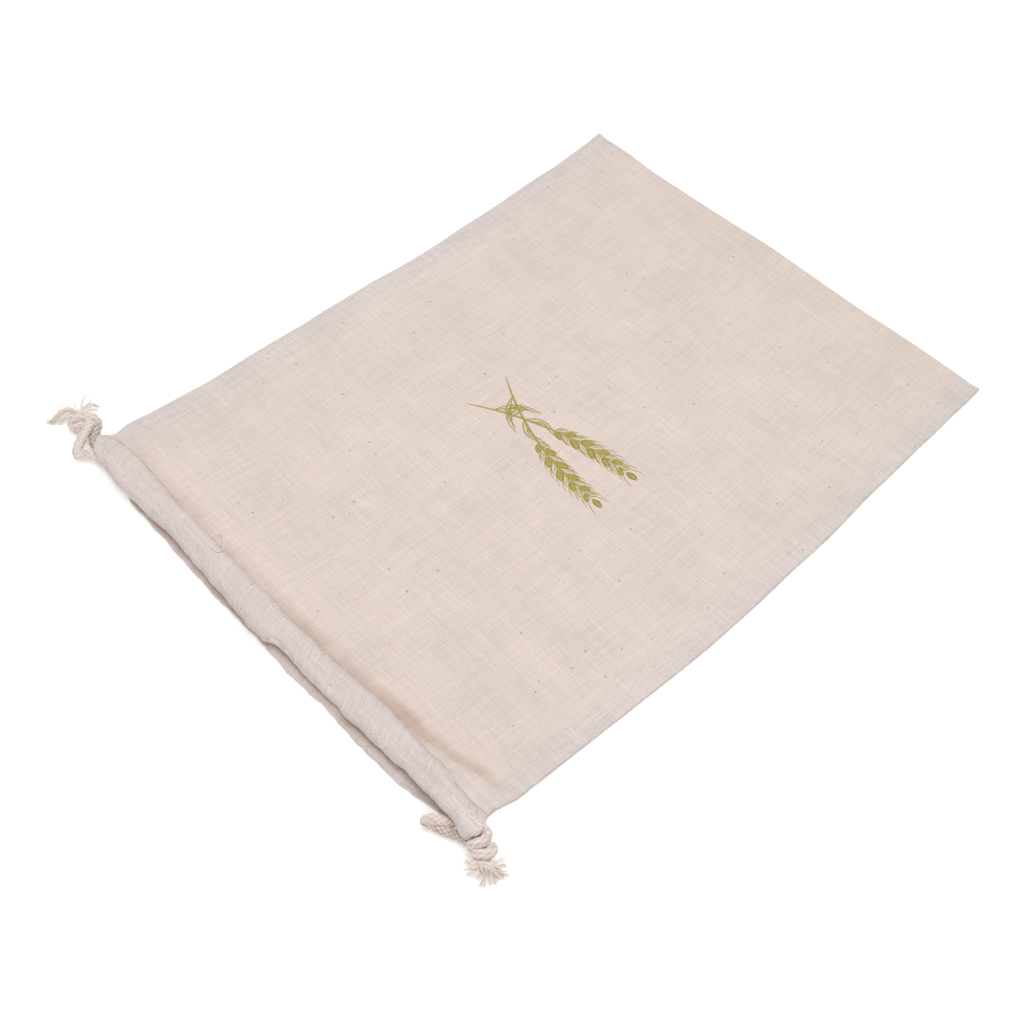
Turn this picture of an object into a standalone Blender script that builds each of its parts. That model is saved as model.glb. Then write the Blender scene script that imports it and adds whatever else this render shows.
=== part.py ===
"""Linen bread bag, lying flat and empty, with a braided drawstring in each of its two channels.

One length of cloth is folded at the closed end, sewn up both long sides with its allowances turned
inside, and hemmed into a channel along each lip of the mouth. A cord runs through each channel. At
each side the ends of the two cords are tied together in one knot and fray out beyond it.

Frame: metres, +Z up, the bag lies on z = 0. +Y runs from the mouth to the closed end, +X to the right
of it, and the origin is under the middle of the cloth. The tables below are in millimetres.
"""

import math

import bpy
import numpy as np

MM = 0.001

# Cloth
CLOTH = 1.0  # thickness of one layer
LAYER_GAP = 0.35  # air between two layers that lie on each other
BODY_GAP = 0.7  # air between the front and the back of the empty bag
SEWN = 1.2  # width of a sewn line, where the layers are one
ALLOWANCE = 11.0  # width of the seam allowance inside each long side
WIDTH = 300.0  # width that the stations across are spaced for
STATION = 13.8  # spacing of the stations across the bag
HEM_LINES = 12  # lines of points from a channel's folded edge to its stitching
BODY_SHARES = (0.006, 0.018, 0.035, 0.06, 0.10, 0.16, 0.25, 0.35, 0.46, 0.57, 0.68, 0.79, 0.89, 0.96)
EDGE_ROUND = 0.45  # how far an outer edge is drawn in at its top
EDGE_DROP = 0.4  # how much lower a channel is at its folded edge, as a share of its height
ALLOWANCE_FADE = 12.0  # over which the front comes down from the allowances
STITCH_FADE = 5.5  # over which it comes down from the channel's stitching
SWELL_FADE = 30.0  # over which its swells die away towards the edges
STEP_BEFORE = 2.6  # how far in front of the back channel the front one steps up on it
STEP = 1.2  # how wide that step is

# Cords
CORD_RADIUS = 2.75
CORD_ROOM = 3.25  # from a cord's centre line to the cloth that lies over it
COVER_HALF = 4.75  # half width of the cloth's cover at the height of the centre line
COVER_POWER = 2.6  # how square the cover's section is: 2 is a parabola
CORD_REST = 3.05  # from a cord's centre line down to the cloth that it rests on
CORD_SIDES = 2  # bevel resolution: 2 gives 8 sides

# Knots and frayed ends
KNOT_WRAPS = 2
FRAY_THICK = (5.6, 2.2)  # at the knot and at the tips
FRAY_UNDER = (2.4, 0.3)  # height of the underside at the knot and at the tips


def table(columns, *rows):
    """The columns of a table by name, from its rows."""
    return dict(zip(columns.split(), zip(*rows)))


# Long sides: where the left and the right edge lie, from the mouth to the closed end.
SIDES = table(
    "y left right",
    (-190, -152.8, 143.2),
    (-185, -152.6, 144.8),
    (-180, -150.5, 146.5),
    (-170, -151.8, 147),
    (-148, -150, 148),
    (-128, -148.3, 149.3),
    (-68, -147.7, 152.8),
    (12, -146.8, 153.4),
    (52, -145.6, 152.9),
    (92, -146.7, 150.5),
    (132, -148.6, 149.6),
    (172, -149.5, 148.4),
    (212, -153.3, 146.7),
)

# Closed end: where its fold lies, from left to right.
CLOSED_END = table(
    "x fold",
    (-153, 212.9),
    (-130, 213.2),
    (-90, 211.8),
    (-15, 214.3),
    (60, 212.8),
    (110, 213.4),
    (147, 212.4),
)

# Mouth, from left to right: y of the channels' stitching and of the folded edge of the front and back one.
MOUTH = table(
    "x stitch front back",
    (-153, -184, -201.4, -192.4),
    (-136, -180.8, -201.8, -192.4),
    (-119, -181.4, -201.6, -193.6),
    (-97, -184, -202.5, -201.3),
    (-69, -186.2, -202.4, -204.0),
    (-50, -187.2, -204.8, -205.4),
    (-28, -188.2, -207, -206.8),
    (-1, -190, -209.2, -207.9),
    (24, -190.5, -208.6, -209.9),
    (45, -190.8, -208.5, -210.4),
    (71, -189.9, -209.2, -211.6),
    (88, -191.2, -209.6, -212.5),
    (101, -192.6, -209.2, -212.5),
    (116, -194, -209.8, -211.2),
    (128, -195.2, -210.6, -209.4),
    (140, -195.6, -213, -208),
    (148, -195.4, -213, -206),
)

# Open ends of the channels: where they lie at a share of the way from the folded edge to the stitching.
FRONT_ENDS = table(
    "share left right",
    (0, -138.4, 140),
    (0.06, -140.4, 143.4),
    (0.16, -144, 146.4),
    (0.35, -147.5, 148.2),
    (0.6, -150, 147.2),
    (0.8, -151.8, 144.8),
    (1, -152.6, 143.6),
)
BACK_ENDS = table(
    "share left right",
    (0, -139, 121),
    (0.06, -140.4, 122.4),
    (0.16, -142.6, 124),
    (0.35, -146.2, 126),
    (0.6, -149, 129.2),
    (0.8, -151, 136),
    (1, -152.6, 143.2),
)

# Low swells of the front.
SWELLS = table(
    "x y reach_x reach_y height",
    (-95, -60, 45, 70, 0.7),
    (60, -95, 60, 50, 0.9),
    (10, 40, 70, 45, 0.5),
    (95, 120, 40, 60, 0.6),
    (-60, 150, 60, 50, 0.5),
    (70, -165, 40, 9, 0.9),
    (120, -168, 18, 7, 1.1),
)

# The front drawstring's centre line, from the left knot to the right one.
FRONT_ROUTE = (
    (-158.4, -190.1, 7.5),
    (-157.6, -191.9, 7.0),
    (-156.2, -194.8, 6.0),
    (-154.6, -198.0, 4.7),
    (-152.8, -200.6, 3.5),
    (-150.3, -201.4, 3.1),
    (-148.0, -199.8, 3.9),
    (-145.6, -197.8, 4.85),
    (-142.0, -197.2, 4.8),
    (-138.0, -197.3, 4.8),
    (-130.0, -197.4, 5.2),
    (-119.0, -197.6, 6.5),
    (-109.0, -197.8, 6.95),
    (-97.0, -198.1, 7.1),
    (-69.0, -198.4, 7.65),
    (-50.0, -200.6, 6.9),
    (-28.0, -202.6, 6.75),
    (-1.0, -205.0, 6.75),
    (24.0, -204.3, 6.75),
    (45.0, -204.2, 6.75),
    (71.0, -205.0, 6.8),
    (88.0, -205.4, 7.1),
    (101.0, -205.0, 8.2),
    (113.0, -205.5, 9.8),
    (124.0, -206.2, 10.8),
    (133.0, -206.2, 10.9),
    (142.5, -205.2, 10.3),
    (147.0, -203.9, 10.0),
    (149.4, -203.2, 9.8),
)

# The back drawstring's, from the left knot through its loop to the right knot.
BACK_ROUTE = (
    (-155.9, -185.1, 3.8),
    (-154.9, -187.2, 3.5),
    (-153.6, -189.6, 3.2),
    (-151.6, -191.2, 3.1),
    (-148.8, -191.0, 3.5),
    (-144.6, -189.5, 4.05),
    (-139.5, -187.4, 4.05),
    (-131.0, -186.0, 4.05),
    (-119.0, -186.4, 4.05),
    (-97.0, -189.0, 4.05),
    (-69.0, -190.9, 4.05),
    (-50.0, -192.2, 4.05),
    (-28.0, -193.2, 4.05),
    (-1.0, -195.0, 4.05),
    (24.0, -195.5, 4.05),
    (45.0, -195.8, 4.05),
    (71.0, -195.0, 4.05),
    (88.0, -196.3, 4.05),
    (101.0, -197.7, 4.05),
    (113.0, -199.2, 4.05),
    (122.0, -200.4, 4.05),
    (128.2, -200.9, 4.05),
    (132.6, -202.2, 3.8),
    (135.2, -205.0, 3.1),
    (134.4, -208.3, 2.85),
    (131.2, -210.7, 2.85),
    (127.6, -212.9, 2.85),
    (125.1, -215.4, 2.85),
    (125.0, -218.0, 2.85),
    (127.2, -219.2, 2.85),
    (130.8, -218.1, 2.85),
    (134.4, -216.4, 2.85),
    (138.2, -214.8, 2.85),
    (141.8, -213.3, 2.9),
    (145.2, -212.2, 3.2),
    (147.6, -211.4, 3.6),
)
FRONT_HELD = (-142, 148)  # x of the first and the last point inside the front channel
BACK_HELD = (-149, 129)  # the same for the back channel
CHANNEL_FRONT = -207  # the cords lie behind this y in their channels
POINT_SPACING = 11.0  # along a straight stretch of cord, two diameters
BEND_POINTS = 1.5  # further points for each radian of bend

# Knots: centre, heading of the axis in degrees from +X, half length along it, half width, half height, and
# how deep the groove between two wraps is.
KNOTS = {
    "left": ((-164.2, -185.9, 6.15), 142.0, 5.0, 8.7, 6.0, 0.0),
    "right": ((155.0, -210.4, 6.6), -22.8, 5.9, 6.3, 6.3, 0.07),
}

# Frayed ends: where the strands fan out from, and their heading in degrees from +X, with the distances
# from there at which they leave the knot and end.
FANS = {
    "left": (-169.0, -185.2),
    "right": (159.2, -212.2),
}
FRAYS = {
    "left": table(
        "heading start reach",
        (98, 2.0, 9.8),
        (112, 1.7, 13.4),
        (128, 1.6, 15.6),
        (140, 1.6, 17.5),
        (160, 1.6, 13),
        (178, 1.7, 15),
        (194, 1.9, 16.8),
        (212, 2.5, 17.2),
        (226, 3.8, 18.6),
        (236, 5.4, 14),
    ),
    "right": table(
        "heading start reach",
        (-136, 7.7, 10.4),
        (-118, 6.0, 11.3),
        (-100, 4.5, 10.4),
        (-78, 3.0, 8.8),
        (-58, 2.3, 11.4),
        (-38, 2.0, 10.4),
        (-18, 2.0, 10.5),
        (2, 2.2, 10.8),
        (20, 2.6, 10.8),
        (38, 3.4, 9.4),
        (56, 4.8, 9.6),
    ),
}

LINEN = (0.80, 0.70, 0.61)
COTTON = (0.82, 0.74, 0.65)


def through(at, xs, ys):
    """A smooth curve through the points (xs, ys), of cubic pieces that share their slopes."""
    xs = np.asarray(xs, float)
    ys = np.asarray(ys, float)
    at = np.clip(np.asarray(at, float), xs[0], xs[-1])
    slope = np.gradient(ys, xs)
    cell = np.clip(np.searchsorted(xs, at) - 1, 0, len(xs) - 2)
    span = xs[cell + 1] - xs[cell]
    t = (at - xs[cell]) / span
    rise = (1 + 2 * t) * (1 - t) ** 2 * ys[cell] + t * t * (3 - 2 * t) * ys[cell + 1]
    lean = t * (1 - t) ** 2 * slope[cell] - t * t * (1 - t) * slope[cell + 1]
    return rise + span * lean


def smoothstep(t):
    """0 below 0, 1 above 1, and a smooth rise between them."""
    t = np.clip(t, 0, 1)
    return t * t * (3 - 2 * t)


def line_in_channel(route, first_x, last_x, x):
    """y and z of a cord's centre line at x, from the route's points between the mouths of its channel."""
    xs, ys, zs = np.array([p for p in route if first_x <= p[0] <= last_x and p[1] > CHANNEL_FRONT]).T
    return through(x, xs, ys), through(x, xs, zs)


def front_line(x):
    """y and z of the front cord's centre line at x, in its channel."""
    return line_in_channel(FRONT_ROUTE, *FRONT_HELD, x)


def back_line(x):
    """y and z of the back cord's centre line at x, in its channel."""
    return line_in_channel(BACK_ROUTE, *BACK_HELD, x)


def cover(line_y, line_z, y):
    """Underside of the cloth that lies over a cord: a flattened arch, falling steeply past its foot."""
    return line_z + CORD_ROOM * (1 - (np.abs(y - line_y) / COVER_HALF) ** COVER_POWER)


def back_hem_heights(x, y):
    """Heights of the back channel's three surfaces over its lowest layer: z1, z2 and z3."""
    line_y, line_z = back_line(x)
    z1 = np.full_like(x, CLOTH)
    z2 = np.maximum(z1 + LAYER_GAP, cover(line_y, line_z, y))
    return z1, z2, z2 + CLOTH


def front_hem_heights(x, y):
    """Heights of the front channel's surfaces, z4 to z7: it lies on the back one and round its own cord."""
    line_y, line_z = front_line(x)
    back_edge = through(x, MOUTH["x"], MOUTH["back"])
    over_back = smoothstep((y - back_edge + STEP_BEFORE) / STEP) * (x < BACK_HELD[1] - 1)
    bed = line_z - CORD_REST - CLOTH
    z4 = np.maximum(bed, over_back * (back_hem_heights(x, y)[2] + LAYER_GAP))
    z5 = z4 + CLOTH
    z6 = np.maximum(z5 + LAYER_GAP, cover(line_y, line_z, y))
    return z4, z5, z6, z6 + CLOTH


def swell(x, y):
    """Sum of the low round swells of the bag's front."""
    total = np.zeros_like(x)
    for cx, cy, rx, ry, height in zip(*SWELLS.values()):
        total += height * np.exp(-(((x - cx) / rx) ** 2) - ((y - cy) / ry) ** 2)
    return total


def stations():
    """Distances across the bag from its left edge: fine at the seams, then even."""
    inner = SEWN + ALLOWANCE
    side = [0, SEWN, SEWN + ALLOWANCE / 2, inner]
    count = round((WIDTH - 2 * inner) / STATION)
    middle = np.linspace(inner, WIDTH - inner, count + 1)[1:-1]
    return np.array(side + list(middle) + [WIDTH - s for s in reversed(side)])


def hem_grid(ends, edge_column):
    """x and y of a channel's points, one row for each line and one column for each station.

    Its lines are the folded edge, the inside at even steps, and the two sides of the stitching. The open ends
    aren't straight, so where a line ends depends on its share of the way from the edge to the stitching.
    """
    share_of_width = stations() / WIDTH
    x = np.tile(np.linspace(-145, 145, len(share_of_width)), (HEM_LINES, 1))
    inside = np.linspace(0, 1, HEM_LINES - 2)[:, None]
    for _ in range(4):
        edge = through(x, MOUTH["x"], MOUTH[edge_column])
        stitch = through(x, MOUTH["x"], MOUTH["stitch"])
        wall = (edge + CLOTH)[1:-1]
        sewn = (stitch - SEWN)[1:-1]
        y = np.vstack([edge[:1], wall + (sewn - wall) * inside, stitch[-1:]])
        share = (y - edge) / (stitch - edge)
        left = through(share[:, 0], ends["share"], ends["left"])
        right = through(share[:, -1], ends["share"], ends["right"])
        x = left[:, None] + (right - left)[:, None] * share_of_width
    return x, y


def body_grid():
    """x and y of the points of the bag's body, from just past the stitching to the fold of the closed end."""
    share_of_width = stations() / WIDTH
    shares = np.array(BODY_SHARES + (1.0,))
    fold_left = CLOSED_END["fold"][0]
    fold_right = CLOSED_END["fold"][-1]
    stitch_left = MOUTH["stitch"][0]
    stitch_right = MOUTH["stitch"][-2]
    left_y = stitch_left + shares * (fold_left - stitch_left)
    right_y = stitch_right + shares * (fold_right - stitch_right)
    left = through(left_y, SIDES["y"], SIDES["left"])
    right = through(right_y, SIDES["y"], SIDES["right"])
    x = left[:, None] + (right - left)[:, None] * share_of_width
    stitch = through(x, MOUTH["x"], MOUTH["stitch"])
    fold = through(x, CLOSED_END["x"], CLOSED_END["fold"])
    y = stitch + shares[:, None] * (fold - stitch)
    inner = y[-1:] - SEWN
    return np.vstack([x[:-1], x[-1:], x[-1:]]), np.vstack([y[:-1], inner, y[-1:]])


def body_heights(x, y):
    """Heights of the eight surfaces of the body: the back, the allowances between, and the front."""
    from_side = np.minimum(x - x[:, :1], x[:, -1:] - x)
    over_allowance = 1 - smoothstep((from_side - ALLOWANCE - SEWN) / ALLOWANCE_FADE)
    z1 = np.full_like(x, CLOTH)
    flat = z1 + BODY_GAP + over_allowance * (CLOTH + 2 * LAYER_GAP - BODY_GAP)
    stitch = through(x, MOUTH["x"], MOUTH["stitch"])
    behind = y - stitch
    at_stitch = front_hem_heights(x, stitch)[2]
    inside = smoothstep(np.minimum(from_side, y[-1:] - y) / SWELL_FADE) * smoothstep(behind / ALLOWANCE_FADE)
    z6 = flat + (at_stitch - flat) * np.exp(-behind / STITCH_FADE) + inside * swell(x, y)
    z2 = z1 + np.minimum(LAYER_GAP, (z6 - z1) / 4)
    z5 = np.minimum(z2 + CLOTH, z6 - (z6 - z1) / 4)
    z3 = z2 + (z5 - z2) / 3
    z4 = z2 + (z5 - z2) * 2 / 3
    return [np.zeros_like(x), z1, z2, z3, z4, z5, z6, z6 + CLOTH]


def cloth_grid():
    """Points of the whole cloth, in lines from the mouth, stations across and eight surfaces up."""
    front_x, front_y = hem_grid(FRONT_ENDS, "front")
    back_x, back_y = hem_grid(BACK_ENDS, "back")
    body_x, body_y = body_grid()
    lower = [np.zeros_like(back_x), *back_hem_heights(back_x, back_y)]
    upper = front_hem_heights(front_x, front_y)
    hem = [np.dstack([back_x, back_y, z]) for z in lower] + [np.dstack([front_x, front_y, z]) for z in upper]
    body = [np.dstack([body_x, body_y, z]) for z in body_heights(body_x, body_y)]
    grid = np.stack([np.vstack([h, b]) for h, b in zip(hem, body)], axis=2)
    return round_edges(grid)


def round_edges(grid):
    """Rounds the outer edges: seams are drawn in at top and bottom, and a channel's edge is lowered."""
    inset = EDGE_ROUND * np.array([0.5, 0, 0, 0.3, 0.3, 0, 0, 0.8])
    body = slice(HEM_LINES, None)
    grid[body, 0, :, 0] += inset
    grid[body, -1, :, 0] -= inset
    grid[-1, :, :, 1] -= inset
    for line, station in ((body, 0), (body, -1), (-1, slice(1, -1))):
        grid[line, station, 7, 2] -= EDGE_ROUND * 0.7
    for bottom, under, over, top in ((0, 1, 2, 3), (4, 5, 6, 7)):
        height = grid[0, :, over, 2] - grid[0, :, under, 2]
        grid[0, :, over, 2] -= EDGE_DROP * height
        grid[0, :, top, 2] -= EDGE_DROP * height
        grid[0, :, bottom, 1] += EDGE_ROUND * 0.6
        grid[0, :, top, 1] += EDGE_ROUND * 0.4
    return grid


def cloth_cells(lines, across):
    """True for each cell of the grid that is cloth; the others are channels, gaps and the bag's inside."""
    cells = np.zeros((lines, across, 7), bool)
    hem = HEM_LINES - 1
    cells[:hem, :, [0, 2, 4, 6]] = True
    for sewn_line in (0, hem - 1):
        cells[sewn_line, :, [0, 1, 2, 4, 5, 6]] = True
    cells[hem:, :, [0, 6]] = True
    for allowance in ([1, 2], [across - 3, across - 2]):
        for station in allowance:
            cells[hem + 1 :, station, 2:5] = True
    cells[hem:, [0, -1], :] = True
    cells[-1, :, :] = True
    return cells


def skin(grid, cells):
    """Vertices and outward quads of the surface between the cells of cloth and the air."""
    lines, across, levels = grid.shape[:3]
    number = np.arange(lines * across * levels).reshape(lines, across, levels)
    padded = np.pad(cells, 1)
    # For each direction: the axis to look along, the side, and the corners of that face in outward order.
    corners = {
        (0, -1): ((0, 0, 0), (0, 1, 0), (0, 1, 1), (0, 0, 1)),
        (0, 1): ((1, 0, 0), (1, 0, 1), (1, 1, 1), (1, 1, 0)),
        (1, -1): ((0, 0, 0), (0, 0, 1), (1, 0, 1), (1, 0, 0)),
        (1, 1): ((0, 1, 0), (1, 1, 0), (1, 1, 1), (0, 1, 1)),
        (2, -1): ((0, 0, 0), (1, 0, 0), (1, 1, 0), (0, 1, 0)),
        (2, 1): ((0, 0, 1), (0, 1, 1), (1, 1, 1), (1, 0, 1)),
    }
    quads = []
    for (axis, side), around in corners.items():
        beside = np.roll(padded, -side, axis)[1:-1, 1:-1, 1:-1]
        where = np.argwhere(cells & ~beside)
        quads.append(np.stack([number[tuple((where + c).T)] for c in around], axis=1))
    quads = np.vstack(quads)
    used, faces = np.unique(quads, return_inverse=True)
    return grid.reshape(-1, 3)[used], faces.reshape(-1, 4)


def material(name, colour, roughness):
    """A matt cloth or cotton finish."""
    finish = bpy.data.materials.new(name)
    finish.use_nodes = True
    shader = finish.node_tree.nodes["Principled BSDF"]
    shader.inputs["Base Color"].default_value = (*colour, 1)
    shader.inputs["Roughness"].default_value = roughness
    shader.inputs["Metallic"].default_value = 0.0
    return finish


def add_mesh(name, points, faces, finish):
    """One mesh object from points in millimetres."""
    mesh = bpy.data.meshes.new(name)
    mesh.from_pydata((np.asarray(points) * MM).tolist(), [], [list(map(int, f)) for f in faces])
    mesh.materials.append(finish)
    mesh.shade_smooth()
    mesh.set_sharp_from_angle(angle=math.radians(50))
    made = bpy.data.objects.new(name, mesh)
    bpy.context.scene.collection.objects.link(made)
    return made


def make_cloth():
    """The bag's cloth as one solid."""
    grid = cloth_grid()
    cells = cloth_cells(grid.shape[0] - 1, grid.shape[1] - 1)
    points, quads = skin(grid, cells)
    return add_mesh("bag_cloth", points, quads, material("linen cloth", LINEN, 0.95))


def smooth_route(route, per_piece=24):
    """Close points of a smooth curve through the route's own, by their chord length."""
    points = np.array(route)
    along = np.concatenate([[0], np.cumsum(np.sqrt(np.linalg.norm(np.diff(points, axis=0), axis=1)))])
    at = np.concatenate(
        [np.linspace(a, b, per_piece, endpoint=False) for a, b in zip(along[:-1], along[1:])] + [along[-1:]]
    )
    return np.stack([through(at, along, points[:, c]) for c in range(3)], axis=1)


def cord_points(route):
    """Points of a cord's centre line: two diameters apart where it is straight, and closer in a bend."""
    fine = smooth_route(route)
    steps = np.diff(fine, axis=0)
    length = np.linalg.norm(steps, axis=1)
    heading = steps / length[:, None]
    bend = np.arccos(np.clip(np.sum(heading[1:] * heading[:-1], axis=1), -1, 1))
    cost = length / POINT_SPACING + BEND_POINTS * np.concatenate([[0], bend])
    spent = np.concatenate([[0], np.cumsum(cost)])
    at = np.linspace(0, spent[-1], math.ceil(spent[-1]) + 1)
    return np.stack([np.interp(at, spent, fine[:, c]) for c in range(3)], axis=1)


def make_cord(name, route, finish):
    """A drawstring as a round tube with flat ends."""
    curve = bpy.data.curves.new(name, "CURVE")
    curve.dimensions = "3D"
    curve.bevel_depth = CORD_RADIUS * MM
    curve.bevel_resolution = CORD_SIDES
    curve.use_fill_caps = True
    points = cord_points(route) * MM
    line = curve.splines.new("POLY")
    line.points.add(len(points) - 1)
    for point, place in zip(line.points, points):
        point.co = (*place, 1)
    line.use_smooth = True
    curve.materials.append(finish)
    made = bpy.data.objects.new(name, curve)
    bpy.context.scene.collection.objects.link(made)
    return made


def make_knot(name, knot, finish, rings=13, sides=16):
    """Outer form of an overhand knot: a rounded barrel along its axis, with a groove between its wraps."""
    centre, heading, half_length, half_width, half_height, depth = knot
    along = -np.cos(np.linspace(0, math.pi, rings))[1:-1]
    bulge = (1 - np.abs(along) ** 2.6) ** (1 / 2.6)
    groove = 1 - depth * (1 + np.cos(math.pi * KNOT_WRAPS * along)) / 2
    around = np.arange(sides) * 2 * math.pi / sides
    radius = bulge * groove
    rows = np.stack(
        [
            np.repeat(along * half_length, sides),
            np.outer(radius * half_width, np.cos(around)).ravel(),
            np.outer(radius * half_height, np.sin(around)).ravel(),
        ],
        axis=1,
    )
    poles = np.array([[-half_length, 0, 0], [half_length, 0, 0]])
    local = np.vstack([rows, poles])
    turn = math.radians(heading)
    cos, sin = math.cos(turn), math.sin(turn)
    placed = local @ np.array([[cos, sin, 0], [-sin, cos, 0], [0, 0, 1]]) + np.array(centre)
    here = np.arange(len(rows)).reshape(rings - 2, sides)
    after = np.roll(here, -1, axis=1)
    sheets = np.stack([here[:-1], here[1:], after[1:], after[:-1]], axis=-1).reshape(-1, 4)
    first, last = len(rows), len(rows) + 1
    caps = [(first, a, b) for a, b in zip(here[0], after[0])]
    caps += [(last, b, a) for a, b in zip(here[-1], after[-1])]
    return add_mesh(name, placed, [tuple(q[::-1]) for q in sheets] + [c[::-1] for c in caps], finish)


def make_fray(name, origin, fan, finish, headings=17, rings=5):
    """Outer form of a frayed end: a fan that falls from the knot to the table and thins to its tips."""
    turn = np.linspace(fan["heading"][0], fan["heading"][-1], headings)
    near = through(turn, fan["heading"], fan["start"])
    far = through(turn, fan["heading"], fan["reach"])
    out = np.linspace(0, 1, rings)[:, None]
    radius = near + out * (far - near)
    x = origin[0] + radius * np.cos(np.radians(turn))
    y = origin[1] + radius * np.sin(np.radians(turn))
    fall = (1 - out) ** 1.6 + 0 * radius
    under = FRAY_UNDER[1] + (FRAY_UNDER[0] - FRAY_UNDER[1]) * fall
    over = under + FRAY_THICK[1] + (FRAY_THICK[0] - FRAY_THICK[1]) * fall
    grid = np.stack([np.dstack([x, y, under]), np.dstack([x, y, over])], axis=2)
    points, quads = skin(grid, np.ones((rings - 1, headings - 1, 1), bool))
    return add_mesh(name, points, quads[:, ::-1], finish)


def main():
    for old in list(bpy.data.objects):
        bpy.data.objects.remove(old)
    make_cloth()
    braid = material("braided cotton", COTTON, 0.9)
    loose = material("loose cotton strands", COTTON, 0.95)
    make_cord("drawstring_front", FRONT_ROUTE, braid)
    make_cord("drawstring_back", BACK_ROUTE, braid)
    for side, knot in KNOTS.items():
        make_knot(f"knot_{side}", knot, braid)
        make_fray(f"frayed_end_{side}", FANS[side], FRAYS[side], loose)


main()
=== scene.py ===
import math

import bpy
import numpy as np
from mathutils import Matrix


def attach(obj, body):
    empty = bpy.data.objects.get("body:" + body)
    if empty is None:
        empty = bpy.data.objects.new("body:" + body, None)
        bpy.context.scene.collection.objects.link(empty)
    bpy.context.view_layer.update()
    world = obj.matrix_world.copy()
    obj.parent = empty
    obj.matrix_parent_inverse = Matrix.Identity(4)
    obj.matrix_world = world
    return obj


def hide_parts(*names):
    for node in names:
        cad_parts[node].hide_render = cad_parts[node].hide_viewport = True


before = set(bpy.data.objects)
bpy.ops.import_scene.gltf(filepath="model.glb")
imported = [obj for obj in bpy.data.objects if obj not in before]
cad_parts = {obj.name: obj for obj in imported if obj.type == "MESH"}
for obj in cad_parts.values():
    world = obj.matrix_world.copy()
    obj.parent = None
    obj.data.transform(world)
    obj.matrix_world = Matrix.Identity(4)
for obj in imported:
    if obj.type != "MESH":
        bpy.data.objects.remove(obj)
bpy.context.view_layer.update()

# The bag's lengths are in millimetres up to its meshes, which are in metres, as the studio is.
MM = 0.001

# ---------------------------------------------------------------- camera, floor and light

# Angles in degrees, distance in metres and lens in millimetres.
VIEW = {"azimuth": 36.988, "elevation": 51.024, "roll": 8.743, "distance": 0.8502, "lens": 56.64}
AIM = (0.02677, -0.05711, 0.0)
WHITE = (1.0, 1.0, 1.0, 1.0)


def place_of(right, up, back, at):
    """The matrix of something whose own axes are these three directions, at a place."""
    matrix = np.eye(4)
    matrix[:3, :3] = np.array([right, up, back]).T
    matrix[:3, 3] = at
    return Matrix(matrix.tolist())


def studio_camera():
    """A camera that looks at AIM from its azimuth and elevation, rolled about its own line of sight."""
    a, e, r = (math.radians(VIEW[k]) for k in ("azimuth", "elevation", "roll"))
    back = np.array([math.sin(a) * math.cos(e), -math.cos(a) * math.cos(e), math.sin(e)])
    level = np.array([math.cos(a), math.sin(a), 0.0])
    rise = np.cross(back, level)
    right = math.cos(r) * level + math.sin(r) * rise
    up = math.cos(r) * rise - math.sin(r) * level
    data = bpy.data.cameras.new("studio camera")
    data.lens = VIEW["lens"]
    data.sensor_width = 36.0
    data.clip_start = 0.01
    made = bpy.data.objects.new("studio camera", data)
    made.matrix_world = place_of(right, up, back, np.array(AIM) + back * VIEW["distance"])
    bpy.context.scene.collection.objects.link(made)
    bpy.context.scene.camera = made


def softbox(name, place, aim, size, power):
    """A square area light of that size and power, turned towards a point."""
    data = bpy.data.lights.new(name, "AREA")
    data.shape = "SQUARE"
    data.size = size
    data.energy = power
    made = bpy.data.objects.new(name, data)
    towards = np.array(aim) - np.array(place)
    z = -towards / np.linalg.norm(towards)
    x = np.cross([0.0, 1.0, 0.0], z)
    x /= np.linalg.norm(x)
    made.matrix_world = place_of(x, np.cross(z, x), z, place)
    bpy.context.scene.collection.objects.link(made)


def studio():
    """White floor that glows a little, as a lit table does, under a white sky and two large softboxes."""
    scene = bpy.context.scene
    scene.view_settings.view_transform = "Standard"
    scene.world = bpy.data.worlds.new("studio sky")
    scene.world.use_nodes = True
    sky = scene.world.node_tree.nodes["Background"]
    sky.inputs["Color"].default_value = WHITE
    sky.inputs["Strength"].default_value = 0.41
    softbox("overhead softbox", place=(0.0, -0.02, 1.15), aim=(0.02, -0.05, 0.0), size=1.0, power=8.6)
    softbox("front softbox", place=(0.7, -0.9, 1.3), aim=(0.0, 0.0, 0.0), size=1.2, power=1.5)
    half, depth = 3.0, -0.0002
    corners = [(-half, -half, depth), (half, -half, depth), (half, half, depth), (-half, half, depth)]
    mesh = bpy.data.meshes.new("studio_floor")
    mesh.from_pydata(corners, [], [(0, 1, 2, 3)])
    floor = bpy.data.objects.new("studio_floor", mesh)
    scene.collection.objects.link(floor)
    paint = bpy.data.materials.new("white floor")
    paint.use_nodes = True
    shader = paint.node_tree.nodes["Principled BSDF"]
    shader.inputs["Base Color"].default_value = (0.95, 0.95, 0.95, 1.0)
    shader.inputs["Roughness"].default_value = 0.9
    shader.inputs["Emission Color"].default_value = WHITE
    shader.inputs["Emission Strength"].default_value = 0.27
    mesh.materials.append(paint)


studio_camera()
studio()

# ---------------------------------------------------------------- curves and grids


def table(columns, *rows):
    """The columns of a table by name, from its rows."""
    return dict(zip(columns.split(), zip(*rows)))


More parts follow.
